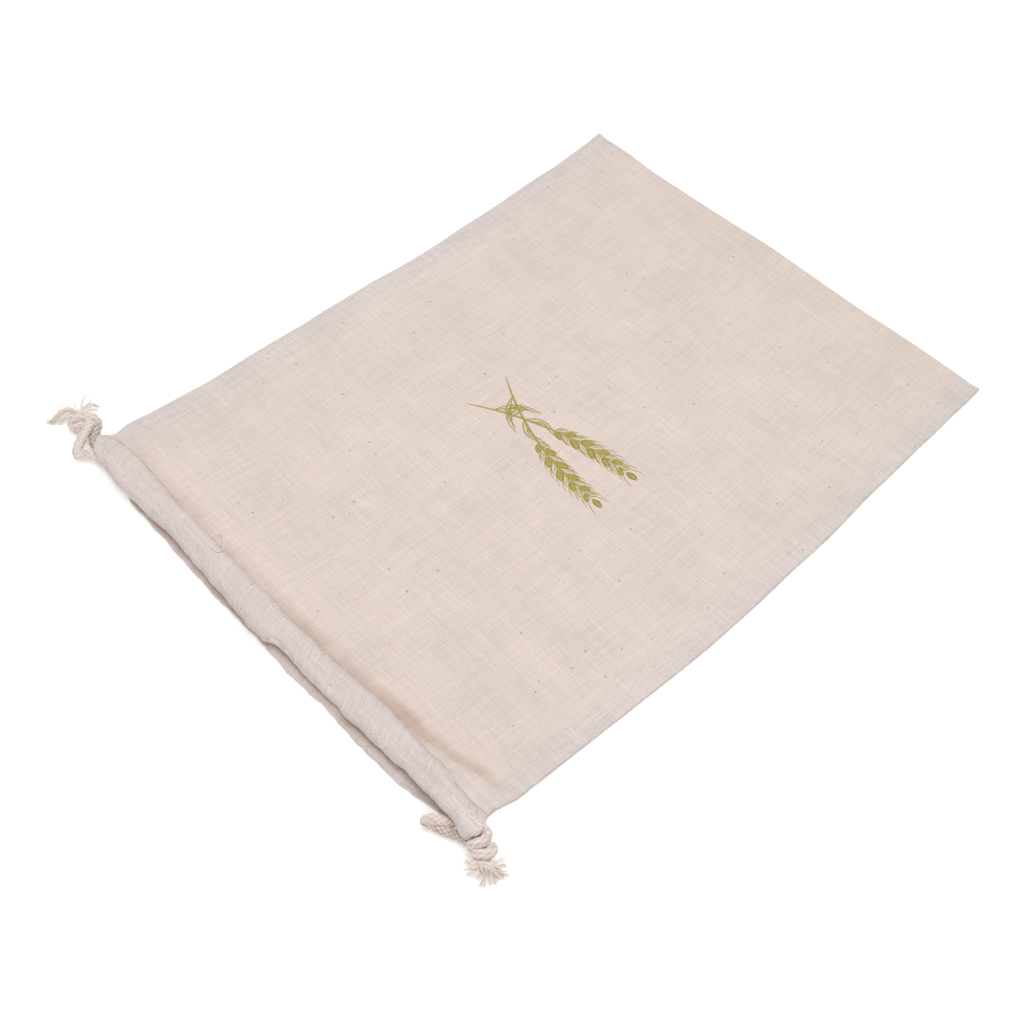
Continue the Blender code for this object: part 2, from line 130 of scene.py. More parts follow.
def through(at, xs, ys):
    """A smooth curve through the points (xs, ys), of cubic pieces that share their slopes."""
    xs = np.asarray(xs, float)
    ys = np.asarray(ys, float)
    at = np.clip(np.asarray(at, float), xs[0], xs[-1])
    slope = np.gradient(ys, xs)
    cell = np.clip(np.searchsorted(xs, at) - 1, 0, len(xs) - 2)
    span = xs[cell + 1] - xs[cell]
    t = (at - xs[cell]) / span
    rise = (1 + 2 * t) * (1 - t) ** 2 * ys[cell] + t * t * (3 - 2 * t) * ys[cell + 1]
    lean = t * (1 - t) ** 2 * slope[cell] - t * t * (1 - t) * slope[cell + 1]
    return rise + span * lean


def read(rows, column, at):
    """A column of a table at places of its first column, along a smooth curve."""
    return through(at, next(iter(rows.values())), rows[column])


def cubic_through(points, t):
    """Cubics that each pass through four points at 0, 1/3, 2/3 and 1 of the way, at shares t of it."""
    at = np.array([0, 1 / 3, 2 / 3, 1])
    basis = [np.prod([(t - other) / (at[k] - other) for other in np.delete(at, k)], axis=0) for k in range(4)]
    return np.einsum("ftk,fkc->ftc", np.stack(basis, axis=-1), points)


def smoothstep(t):
    """0 below 0, 1 above 1, and a smooth rise between them."""
    t = np.clip(t, 0, 1)
    return t * t * (3 - 2 * t)


def within(x, low, high, fade):
    """1 between two ends and 0 outside them, with a smooth change over the fade just inside each end."""
    return smoothstep((x - low) / fade) * smoothstep((high - x) / fade)


def bell(t):
    """1 at 0, falling on both sides as e to the power of minus t squared."""
    return np.exp(-(t**2))


def soft_max(first, second, width=0.7):
    """The larger of two heights, rounded over about a width where they cross."""
    gap = np.abs(first - second)
    return np.maximum(first, second) + width / 4 * np.clip(1 - gap / width, 0, 1) ** 2


def unit(vectors):
    """Vectors over their own lengths."""
    return vectors / np.maximum(np.linalg.norm(vectors, axis=-1, keepdims=True), 1e-12)


def running(steps):
    """0, and the sum of the steps up to each of them."""
    return np.concatenate([[0], np.cumsum(steps)])


def ripple(x, y, reach, seed, count=7):
    """Smooth unevenness of about -1 to 1: plane waves of random headings and lengths near reach, summed."""
    random = np.random.default_rng(seed)
    heading = random.uniform(0, 2 * math.pi, count)
    number = 2 * math.pi / (reach * random.uniform(0.7, 1.5, count))
    phase = random.uniform(0, 2 * math.pi, count)
    waves = [np.sin(n * (x * math.cos(h) + y * math.sin(h)) + p) for n, h, p in zip(number, heading, phase)]
    return sum(waves) / math.sqrt(count)


def mesh_piece(name, points, faces, finish, uv, values):
    """One smooth mesh from points in millimetres, with a UV in metres and named values for each point."""
    mesh = bpy.data.meshes.new(name)
    faces = np.asarray(faces, np.int32)
    mesh.vertices.add(len(points))
    mesh.vertices.foreach_set("co", (points * MM).ravel())
    mesh.loops.add(faces.size)
    mesh.loops.foreach_set("vertex_index", faces.ravel())
    mesh.polygons.add(len(faces))
    mesh.polygons.foreach_set("loop_start", np.arange(len(faces), dtype=np.int32) * faces.shape[1])
    mesh.update(calc_edges=True)
    mesh.uv_layers.new(name="cloth").data.foreach_set("uv", uv[faces.ravel()].ravel())
    for key, value in values.items():
        mesh.attributes.new(key, "FLOAT", "POINT").data.foreach_set("value", value)
    mesh.polygons.foreach_set("use_smooth", np.ones(len(faces), bool))
    mesh.materials.append(finish)
    mesh.validate()
    made = bpy.data.objects.new(name, mesh)
    bpy.context.scene.collection.objects.link(made)
    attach(made, "root")
    return made


def grid_quads(rows, columns, wrap=False):
    """Quads between the points of a grid, whose columns may close on themselves."""
    number = np.arange(rows * columns).reshape(rows, columns)
    right = np.roll(number, -1, axis=1) if wrap else number[:, 1:]
    left = number if wrap else number[:, :-1]
    return np.stack([left[:-1], right[:-1], right[1:], left[1:]], axis=-1).reshape(-1, 4)


def shell_quads(rows, columns):
    """Quads of a closed shell of two like grids: the first, the second turned round, and walls at the rim."""
    number = np.arange(rows * columns).reshape(rows, columns)
    rim = np.concatenate([number[0], number[1:, -1], number[-1, -2::-1], number[-2:0:-1, 0]])
    after = np.roll(rim, -1)
    second = rows * columns
    quads = grid_quads(rows, columns)
    walls = np.stack([rim, rim + second, after + second, after], axis=1)
    return np.vstack([quads, quads[:, ::-1] + second, walls])


# ---------------------------------------------------------------- materials


class Nodes:
    """A material of its own name, and short calls for its nodes."""

    def __init__(self, name):
        self.finish = bpy.data.materials.new(name)
        self.finish.use_nodes = True
        self.tree = self.finish.node_tree

    def __call__(self, kind, **settings):
        """Adds a node. A setting is one of its properties, or a value or a socket for one of its inputs."""
        node = self.tree.nodes.new(kind)
        for key, value in settings.items():
            if hasattr(node, key):
                setattr(node, key, value)
        for key, value in settings.items():
            if key in node.inputs:
                self.join(value, node.inputs[key])
        return node

    def join(self, value, socket):
        """Puts a value or another node's socket into a socket."""
        if isinstance(value, bpy.types.NodeSocket):
            self.tree.links.new(value, socket)
        else:
            socket.default_value = value

    def maths(self, operation, *values):
        """One Math node."""
        node = self("ShaderNodeMath", operation=operation)
        for value, socket in zip(values, node.inputs):
            self.join(value, socket)
        return node.outputs[0]

    def plus(self, first, second):
        """The sum of two values."""
        return self.maths("ADD", first, second)

    def minus(self, first, second):
        """The first value less the second."""
        return self.maths("SUBTRACT", first, second)

    def times(self, first, second):
        """The product of two values."""
        return self.maths("MULTIPLY", first, second)

    def span(self, value, low, high, to_low, to_high):
        """A value carried from one span to another, and held at its ends."""
        ends = {"From Min": low, "From Max": high, "To Min": to_low, "To Max": to_high}
        return self("ShaderNodeMapRange", Value=value, **ends).outputs["Result"]

    def noise(self, where, scale, detail, rough=0.5):
        """Cloudy noise over a plane, with about as many clouds in a unit as its scale."""
        settings = {"Vector": where, "Scale": scale, "Detail": detail, "Roughness": rough}
        return self("ShaderNodeTexNoise", noise_dimensions="2D", **settings).outputs["Fac"]

    def value_of(self, attribute):
        """A named value of the mesh's points."""
        return self("ShaderNodeAttribute", attribute_name=attribute).outputs["Fac"]

    def ramp(self, value, stops):
        """Grey levels at places of a value, straight between them."""
        node = self("ShaderNodeValToRGB", Fac=value)
        while len(node.color_ramp.elements) < len(stops):
            node.color_ramp.elements.new(0.5)
        for element, (place, level) in zip(node.color_ramp.elements, stops):
            element.position = place
            element.color = (level, level, level, 1.0)
        return node.outputs["Color"]

    def mix(self, share, first, second):
        """The second colour over the first, by a share. Sockets 6 and 7 are the Mix node's colours."""
        node = self("ShaderNodeMix", data_type="RGBA")
        for value, socket in ((share, 0), (first, 6), (second, 7)):
            self.join(value, node.inputs[socket])
        return node.outputs[2]

    def shade(self, colour, level):
        """A colour times a grey level."""
        node = self("ShaderNodeVectorMath", operation="SCALE", Scale=level)
        self.join(colour, node.inputs[0])
        return node.outputs[0]

    def cover(self, colour, bump, roughness, gloss, fuzz):
        """Ends the material: its colour and bump, and how rough, glossy and fuzzy it is."""
        shader = self.tree.nodes["Principled BSDF"]
        self.join(colour, shader.inputs["Base Color"])
        self.join(bump.outputs["Normal"], shader.inputs["Normal"])
        for key, value in (("Roughness", roughness), ("Specular IOR Level", gloss), ("Sheen Weight", fuzz)):
            shader.inputs[key].default_value = value
        return self.finish


def braid_finish(name, light, shade):
    """Matt cotton, with painted shade where the braid is deep, and fine yarns that run along the strands."""
    add = Nodes(name)
    uv = add("ShaderNodeUVMap", uv_map="cloth").outputs["UV"]
    yarns = add.noise(uv, 2600.0, 3.0, 0.6)
    soil = add.noise(uv, 260.0, 2.0)
    # painted shade in the hollows of the braid
    deep = add.ramp(add.value_of("braid_depth"), ((0.2, 0.0), (0.65, 0.5), (1.0, 0.95)))
    colour = add.mix(deep, light, shade)
    colour = add.mix(add.ramp(soil, ((0.45, 0.0), (0.8, 0.35))), colour, shade)
    colour = add.shade(colour, add.span(yarns, 0.3, 0.7, 0.93, 1.05))
    bump = add("ShaderNodeBump", Height=yarns, Strength=0.5, Distance=0.00025)
    return add.cover(colour, bump, roughness=0.92, gloss=0.2, fuzz=0.1)


# The second colour of each is painted shade for the braid's hollows, and also the colour of random soiled
# patches.
COTTON = braid_finish("braided cotton", (0.93, 0.83, 0.78, 1.0), (0.45, 0.325, 0.245, 1.0))
LOOSE_COTTON = braid_finish("loose cotton", (0.99, 0.90, 0.83, 1.0), (0.84, 0.63, 0.46, 1.0))

THREAD = 0.92  # spacing of the linen's threads
THREAD_WANDER = 0.35  # of that spacing
CROSSING = 0.6  # how far a thread rises and sinks at its crossings, to its own height of 1
LINEN_BODY = (0.80, 0.685, 0.62, 1.0)
LINEN_DOUBLED = (0.752, 0.668, 0.643, 1.0)
# brown for painted shade, in the hollow behind the channel and under its edge
LINEN_CHANNEL_SHADE = (0.61, 0.475, 0.395, 1.0)
LINEN_WARM = (0.78, 0.61, 0.49, 1.0)
BARK = (0.36, 0.26, 0.2, 1.0)
OLIVE_INK = (0.46, 0.375, 0.085, 1.0)


def weave(add, uv):
    """A plain weave: its height, one tone for each thread, and its rib_shade, which is painted shade.

    Threads run both ways at the same spacing, and wander a little. Where two cross, one is over the other, in
    turn: its height is a cosine across itself, raised along itself, and the cloth is the higher of the two.
    Each thread has its own thickness and tone, which also change slowly along it. The rib_shade is painted
    shade between the threads from the mouth to the closed end, as if they stood out, less so towards the
    right side.
    """
    parts = add("ShaderNodeSeparateXYZ", Vector=uv).outputs
    reach = THREAD_WANDER * THREAD * MM
    wander = add.span(add.noise(uv, 190.0, 2.0), 0.3, 0.7, -reach, reach)
    threads = []
    for own, other in (("X", "Y"), ("Y", "X")):
        number = add.maths("DIVIDE", add.plus(parts[own], wander), THREAD * MM)
        whole = add.maths("FLOOR", number)
        across = add.minus(add.minus(number, whole), 0.5)
        crown = add.maths("COSINE", add.times(across, math.pi))
        place = add("ShaderNodeCombineXYZ", X=add.times(whole, 0.731), Y=add.times(parts[other], 28.0))
        threads.append((whole, crown, add.noise(place.outputs["Vector"], 1.0, 2.0, 0.7)))
    (first, crown_a, tone_a), (second, crown_b, tone_b) = threads
    odd = add.times(add.maths("FLOORED_MODULO", add.plus(first, second), 2.0), 2.0)
    over = add.minus(1.0, odd)
    high_a = add.plus(crown_a, add.times(add.times(over, crown_b), CROSSING))
    high_b = add.minus(crown_b, add.times(add.times(over, crown_a), CROSSING))
    pairs = ((high_a, tone_a), (high_b, tone_b))
    thick_a, thick_b = (add.plus(high, add.span(tone, 0.3, 0.7, -0.2, 0.2)) for high, tone in pairs)
    on_top = add.maths("GREATER_THAN", high_a, high_b)
    tone = add.plus(add.times(on_top, tone_a), add.times(add.minus(1.0, on_top), tone_b))
    rib_shade = add.times(add.minus(crown_a, 0.64), add.span(parts["X"], 0.08, 0.115, 1.0, 0.35))
    return add.maths("MAXIMUM", thick_a, thick_b), tone, rib_shade


def linen_finish(name, ink=None):
    """Matt linen in a plain weave, with slubs, faint cloudy patches and a few flecks of bark.

    Its colour is darker where the weave is low: painted shade between the threads. Doubled cloth is greyer,
    that painted shade is stronger on it and it is crumpled, and the painted shade behind the channel is
    browner.
    With an ink, the crowns of the weave carry it, and it breaks up where the printing was thin.
    """
    add = Nodes(name)
    uv = add("ShaderNodeUVMap", uv_map="cloth").outputs["UV"]
    height, tone, rib_shade = weave(add, uv)
    doubled = add.value_of("doubled")
    colour = add.mix(doubled, LINEN_BODY, LINEN_DOUBLED)
    # painted shade behind and under the channel
    colour = add.mix(add.value_of("channel_shade"), colour, LINEN_CHANNEL_SHADE)
    colour = add.shade(colour, add.span(add.noise(uv, 26.0, 3.0, 0.55), 0.3, 0.7, 0.972, 1.028))
    colour = add.mix(add.span(add.noise(uv, 420.0, 2.0, 0.7), 0.5, 0.75, 0.0, 0.35), colour, LINEN_WARM)
    fleck = add("ShaderNodeTexVoronoi", voronoi_dimensions="2D", Vector=uv, Scale=105.0, Randomness=1.0)
    reach = add.span(add.noise(fleck.outputs["Position"], 900.0, 0.0), 0.6, 0.8, 0.0, 0.07)
    spot = add.maths("LESS_THAN", fleck.outputs["Distance"], reach)
    colour = add.mix(add.times(spot, 0.55), colour, BARK)
    if ink is not None:
        taken = add.plus(height, add.span(add.noise(uv, 700.0, 3.0, 0.7), 0.3, 0.7, -0.6, 0.9))
        colour = add.mix(add.span(taken, 0.1, 0.75, 0.35, 1.0), colour, ink)
    colour = add.shade(colour, add.span(tone, 0.25, 0.75, 0.93, 1.07))
    # painted shade of the weave: darker between the threads, and more so with the rib_shade on doubled cloth
    plain = add.span(height, 0.2, 1.1, 0.84, 1.05)
    rib_shade = add.times(rib_shade, add.span(add.noise(uv, 55.0, 1.0), 0.35, 0.65, 0.15, 0.45))
    strong = add.times(add.span(height, 0.2, 1.1, 0.64, 1.1), add.plus(rib_shade, 1.0))
    level = add.plus(add.times(plain, add.minus(1.0, doubled)), add.times(strong, doubled))
    crumple = add.times(add.noise(uv, 150.0, 2.5, 0.6), add.span(doubled, 0.0, 1.0, 0.25, 1.0))
    soft = add("ShaderNodeBump", Height=crumple, Strength=1.0, Distance=0.0013).outputs["Normal"]
    bump = add("ShaderNodeBump", Height=height, Strength=0.6, Distance=0.00012, Normal=soft)
    return add.cover(add.shade(colour, level), bump, roughness=0.95, gloss=0.15, fuzz=0.05)


LINEN = linen_finish("linen")
PRINTED_LINEN = linen_finish("linen with olive ink", OLIVE_INK)

# ---------------------------------------------------------------- cords

CORD_RADIUS = 2.75
CORD_STRANDS = 6  # in each of the braid's two directions
CORD_LAY = 19.0  # length in which a strand goes round once
CORD_SIDES = 48  # of a cord's tube
BRAID_DEPTH = 0.42
HIDDEN_STEP = 2.4  # between a cord's rings in its channel
SEEN_STEP = 0.42  # and where it can be seen
HIDDEN_FADE = 4.0  # length over which the one becomes the other
PRESSED = 0.13  # share of its radius that a cord's pressed end loses

# The front drawstring's centre line, from the left knot to the right one.
FRONT_ROUTE = (
    (-158.4, -190.1, 7.5), (-157.6, -191.9, 7.0), (-156.2, -194.8, 6.0), (-154.6, -198.0, 4.7),
    (-152.8, -200.6, 3.5), (-150.3, -201.4, 3.1), (-148.0, -199.6, 3.9), (-145.4, -197.5, 4.8),
    (-142.0, -195.7, 4.8), (-138.0, -194.9, 4.8), (-130.0, -195.3, 5.2), (-119.0, -196.9, 6.4),
    (-109.0, -197.8, 6.95), (-97.0, -198.1, 7.1), (-69.0, -198.4, 7.65), (-50.0, -200.6, 6.9),
    (-28.0, -202.6, 6.75), (-1.0, -205.0, 6.75), (5.0, -204.3, 6.75), (11.0, -202.7, 6.75),
    (24.0, -203.2, 6.75), (45.0, -204.1, 6.75), (71.0, -205.0, 6.8), (88.0, -205.4, 7.1),
    (101.0, -205.0, 8.2), (113.0, -205.5, 9.8), (124.0, -206.2, 10.8), (133.0, -206.2, 10.9),
    (142.5, -205.2, 10.3), (146.5, -204.6, 10.1), (149.2, -204.9, 9.8),
)

# The back drawstring's, from the left knot through its loop to the right knot.
BACK_ROUTE = (
    (-158.2, -184.5, 4.6), (-156.2, -186.6, 4.1), (-154.2, -188.9, 3.6), (-152.0, -190.6, 3.3),
    (-148.6, -190.8, 3.5), (-144.6, -189.5, 4.05), (-139.5, -187.4, 4.05), (-131.0, -186.0, 4.05),
    (-119.0, -186.4, 4.05), (-97.0, -189.0, 4.05), (-69.0, -190.9, 4.05), (-50.0, -192.2, 4.05),
    (-28.0, -193.2, 4.05), (-1.0, -195.0, 4.05), (24.0, -195.5, 4.05), (45.0, -195.8, 4.05),
    (71.0, -195.0, 4.05), (88.0, -196.3, 4.05), (101.0, -197.7, 4.05), (113.0, -199.2, 4.05),
    (120.0, -200.2, 4.05), (126.0, -201.1, 4.0), (130.8, -202.4, 3.8), (134.6, -205.4, 3.5),
    (134.9, -209.0, 3.6), (132.9, -211.9, 4.5), (130.2, -214.2, 5.5), (128.2, -216.3, 6.1),
    (126.4, -218.4, 5.1), (127.0, -218.3, 3.6), (129.4, -216.8, 2.7), (133.1, -215.6, 2.6),
    (136.1, -214.4, 2.6), (139.9, -212.8, 2.8), (142.9, -211.9, 3.1), (146.2, -211.2, 3.5),
)


def smooth_route(route, per_piece=40):
    """Close points of a smooth curve through the route's own, spaced by the square roots of their chords."""
    points = np.array(route)
    along = running(np.sqrt(np.linalg.norm(np.diff(points, axis=0), axis=1)))
    steps = np.linspace(0, 1, per_piece, endpoint=False)
    at = np.concatenate([(along[:-1, None] + np.diff(along)[:, None] * steps).ravel(), along[-1:]])
    return np.stack([through(at, along, points[:, c]) for c in range(3)], axis=1)


def lengths_along(points):
    """Length of a line up to each of its points."""
    return running(np.linalg.norm(np.diff(points, axis=0), axis=1))


def at_lengths(points, lengths):
    """Points of a line at given lengths along it."""
    along = lengths_along(points)
    return np.stack([np.interp(lengths, along, points[:, c]) for c in range(3)], axis=1)


def braid_relief(turn, along, lay):
    """Depth from 0 to 1 of a braid's surface at a turn in radians and a length along it.

    Two families of strands wind in opposite directions. Where they cross, one is over the other, in turn.
    Each strand is a half round across its width, raised where it is over and lowered where it is under. The
    surface is the higher of the two families, and its depth is how far it lies below the highest point.
    """
    p = CORD_STRANDS * (turn / (2 * math.pi) + along / lay)
    q = CORD_STRANDS * (turn / (2 * math.pi) - along / lay)
    i, j = np.floor(p), np.floor(q)
    over = np.where((i + j) % 2 == 0, 1.0, -1.0)
    crown_p = np.sqrt(np.clip(1 - (2 * (p - i) - 1) ** 2, 0, 1))
    crown_q = np.sqrt(np.clip(1 - (2 * (q - j) - 1) ** 2, 0, 1))
    first = 0.55 * crown_p + 0.45 * over * np.sin(math.pi * (q - j))
    second = 0.55 * crown_q - 0.45 * over * np.sin(math.pi * (p - i))
    return 1 - np.maximum(first, second)


def tube_mesh(rings):
    """Points and faces of a closed tube from its rings: quads along it, and a fan of quads over each end."""
    rows, sides = rings.shape[:2]
    number = np.arange(rows * sides).reshape(rows, sides)
    walls = grid_quads(rows, sides, wrap=True)[:, ::-1]
    half = np.arange(0, sides, 2)
    fan = [number[:, (half + step) % sides] for step in range(3)]
    hub = np.full(len(half), rows * sides)
    near = np.stack([hub] + [f[0] for f in fan], axis=1)
    far = np.stack([hub + 1] + [f[-1] for f in fan[::-1]], axis=1)
    middles = [rings[0].mean(0), rings[-1].mean(0)]
    return np.vstack([rings.reshape(-1, 3), middles]), np.vstack([walls, near, far])


def braided(path, along, radius, lay, reference, depth):
    """A closed braided tube: its points and faces, the depth of its braid, and a UV round and along it.

    At each point of its path it has a ring in the plane across the path, which starts on the side of the
    reference direction. The relief of the braid, times its depth, is taken off the radius.
    """
    turn = np.arange(CORD_SIDES) * 2 * math.pi / CORD_SIDES
    relief = braid_relief(turn[None, :], along[:, None], lay)
    tangent = unit(np.gradient(path, axis=0))
    side = unit(np.cross(np.broadcast_to(reference, path.shape), tangent))
    top = np.cross(tangent, side)
    reach = np.reshape(radius, (-1, 1)) - relief * np.reshape(depth, (-1, 1))
    ring = top[:, None] * np.cos(turn)[:, None] + side[:, None] * np.sin(turn)[:, None]
    points, faces = tube_mesh(path[:, None] + ring * reach[..., None])
    around = np.broadcast_to(turn * np.max(radius), relief.shape)
    down = np.broadcast_to(along[:, None], relief.shape)
    uv = np.stack([around.ravel(), down.ravel()], axis=1) * MM
    return points, faces, np.append(relief.ravel(), [0.5, 0.5]), np.vstack([uv, uv[[0, -1]]])


def spaced(line, hidden):
    """Lengths along a line: in small steps, and in large ones where its x lies in the hidden stretch."""
    along = lengths_along(line)
    inside = within(line[:, 0], *hidden, HIDDEN_FADE)
    per_length = 1 / (SEEN_STEP + (HIDDEN_STEP - SEEN_STEP) * inside)
    spent = running(np.diff(along) * (per_length[1:] + per_length[:-1]) / 2)
    return np.interp(np.linspace(0, spent[-1], math.ceil(spent[-1])), spent, along)


def lengthened(line, first, last):
    """A line with a straight lead of some length before its first point and after its last."""
    start = line[0] - unit(line[1] - line[0]) * first
    end = line[-1] + unit(line[-1] - line[-2]) * last
    return np.vstack([start, line, end])


def drawstring(layer, route, leads, hidden, shaded_ends):
    """A braided cord along its route, with a lead into the knot at each end, and smooth where it is hidden.

    Its first and its last stretch, as long as shaded_ends says, carry painted shade: nearer to the colour of
    the braid's depth all over, as the first lies in shade by the knot and the last, the loop's lower strand,
    lies under the upper one. The last one is also pressed a little thinner.
    """
    line = lengthened(smooth_route(route), *leads)
    along = spaced(line, hidden)
    path = at_lengths(line, along)
    from_end = along - along[-1] + shaded_ends[1]
    radius = CORD_RADIUS * (1 - PRESSED * smoothstep((from_end + 3) / 6))
    depth = BRAID_DEPTH * (1 - within(path[:, 0], *hidden, HIDDEN_FADE))
    points, faces, gap, uv = braided(path, along, radius, CORD_LAY, (0.0, 0.0, 1.0), depth)
    # painted shade on the cord's first and last stretch
    end_shade = np.maximum(1.2 * smoothstep((shaded_ends[0] - along) / 5), 0.85 * smoothstep(from_end / 8))
    end_shade = np.append(np.repeat(end_shade, CORD_SIDES), [end_shade[0], end_shade[-1]])
    gap = gap * (1 + 0.1 * end_shade) + 0.36 * end_shade
    cord = mesh_piece(f"braided_drawstring_{layer}", points, faces, COTTON, uv, {"braid_depth": gap})
    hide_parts(f"drawstring_{layer}")


# ---------------------------------------------------------------- knots and frayed ends

KNOT_STEP = 0.34  # between the rings of a knot's strands
FIBRE_POINTS = 16  # along each fibre
LOWEST_FIBRE = 0.3  # height that no fibre goes below

# A knot's centre, its heading in degrees and its strands, each with its radius, the lay of its braid and the
# points of its centre line: along the knot's axis, across it and up, from the knot's centre.
KNOTS = {
    "left": {
        "centre": (-164.2, -185.9, 6.15),
        "heading": 142.0,
        "strands": (
            (2.7, 30.0, (
                (-3.4, -0.5, -3.3), (-3.0, 3.0, -3.3), (-2.0, 5.7, -2.9), (-0.8, 7.2, -1.4),
                (-0.1, 6.8, 0.9), (0.0, 4.6, 2.6), (0.0, 1.1, 3.3), (0.0, -2.6, 2.6),
                (0.0, -4.9, 0.6), (0.2, -5.5, -1.6), (0.9, -4.9, -3.3), (1.8, -2.6, -3.4),
                (2.4, 0.4, -3.0), (3.0, 2.4, -0.8),
            )),
            (2.6, 19.0, (
                (-5.6, -1.1, 2.1), (-3.4, -2.3, 0.7), (-1.2, -2.2, -0.6), (1.2, -0.4, -0.6),
                (2.6, 1.4, 0.2), (3.2, 2.9, 0.8),
            )),
            (2.7, 26.0, (
                (-1.0, 6.0, -1.4), (-2.2, 4.4, -0.6), (-2.6, 2.2, 0.1), (-2.6, -0.4, 0.3),
                (-1.6, -2.4, -0.2), (0.4, -3.2, -0.6),
            )),
            (1.5, 19.0, (
                (-0.4, 0.6, 0.7), (-0.9, 0.2, 0.8), (-2.5, -1.2, 0.8), (-4.1, -2.8, 0.7),
            )),
            (2.4, 19.0, (
                (-3.7, -6.7, -2.1), (-2.2, -5.2, -1.8), (-0.2, -3.2, -1.8), (1.6, -1.2, -1.2),
                (3.0, 1.0, 0.0),
            )),
        ),
    },
    "right": {
        "centre": (155.0, -210.4, 6.6),
        "heading": -22.8,
        "strands": (
            (2.75, 30.0, (
                (-8.0, 2.7, 3.2), (-6.7, 3.6, 3.1), (-5.1, 3.7, 3.0), (-3.3, 2.5, 3.5),
                (-1.9, 0.3, 3.9), (-2.4, -2.4, 2.8), (-3.7, -3.9, 0.2), (-3.4, -2.8, -2.7),
                (-1.6, 0.4, -3.7), (-0.8, 3.2, -2.6), (0.4, 4.2, -0.3), (2.0, 3.4, 2.0),
                (3.7, 1.8, 3.3), (4.2, -0.4, 3.5), (3.0, -2.7, 2.6), (1.0, -3.85, 0.2),
                (1.0, -2.8, -2.6), (2.2, -0.3, -3.0), (3.6, 0.7, -2.2), (4.4, 0.9, -1.2),
            )),
            (2.3, 19.0, (
                (-7.0, -2.9, -2.9), (-4.5, -2.1, -2.3), (-2.0, -0.8, -1.0), (2.0, 0.2, -0.2),
                (4.6, 0.3, 0.4),
            )),
        ),
    },
}

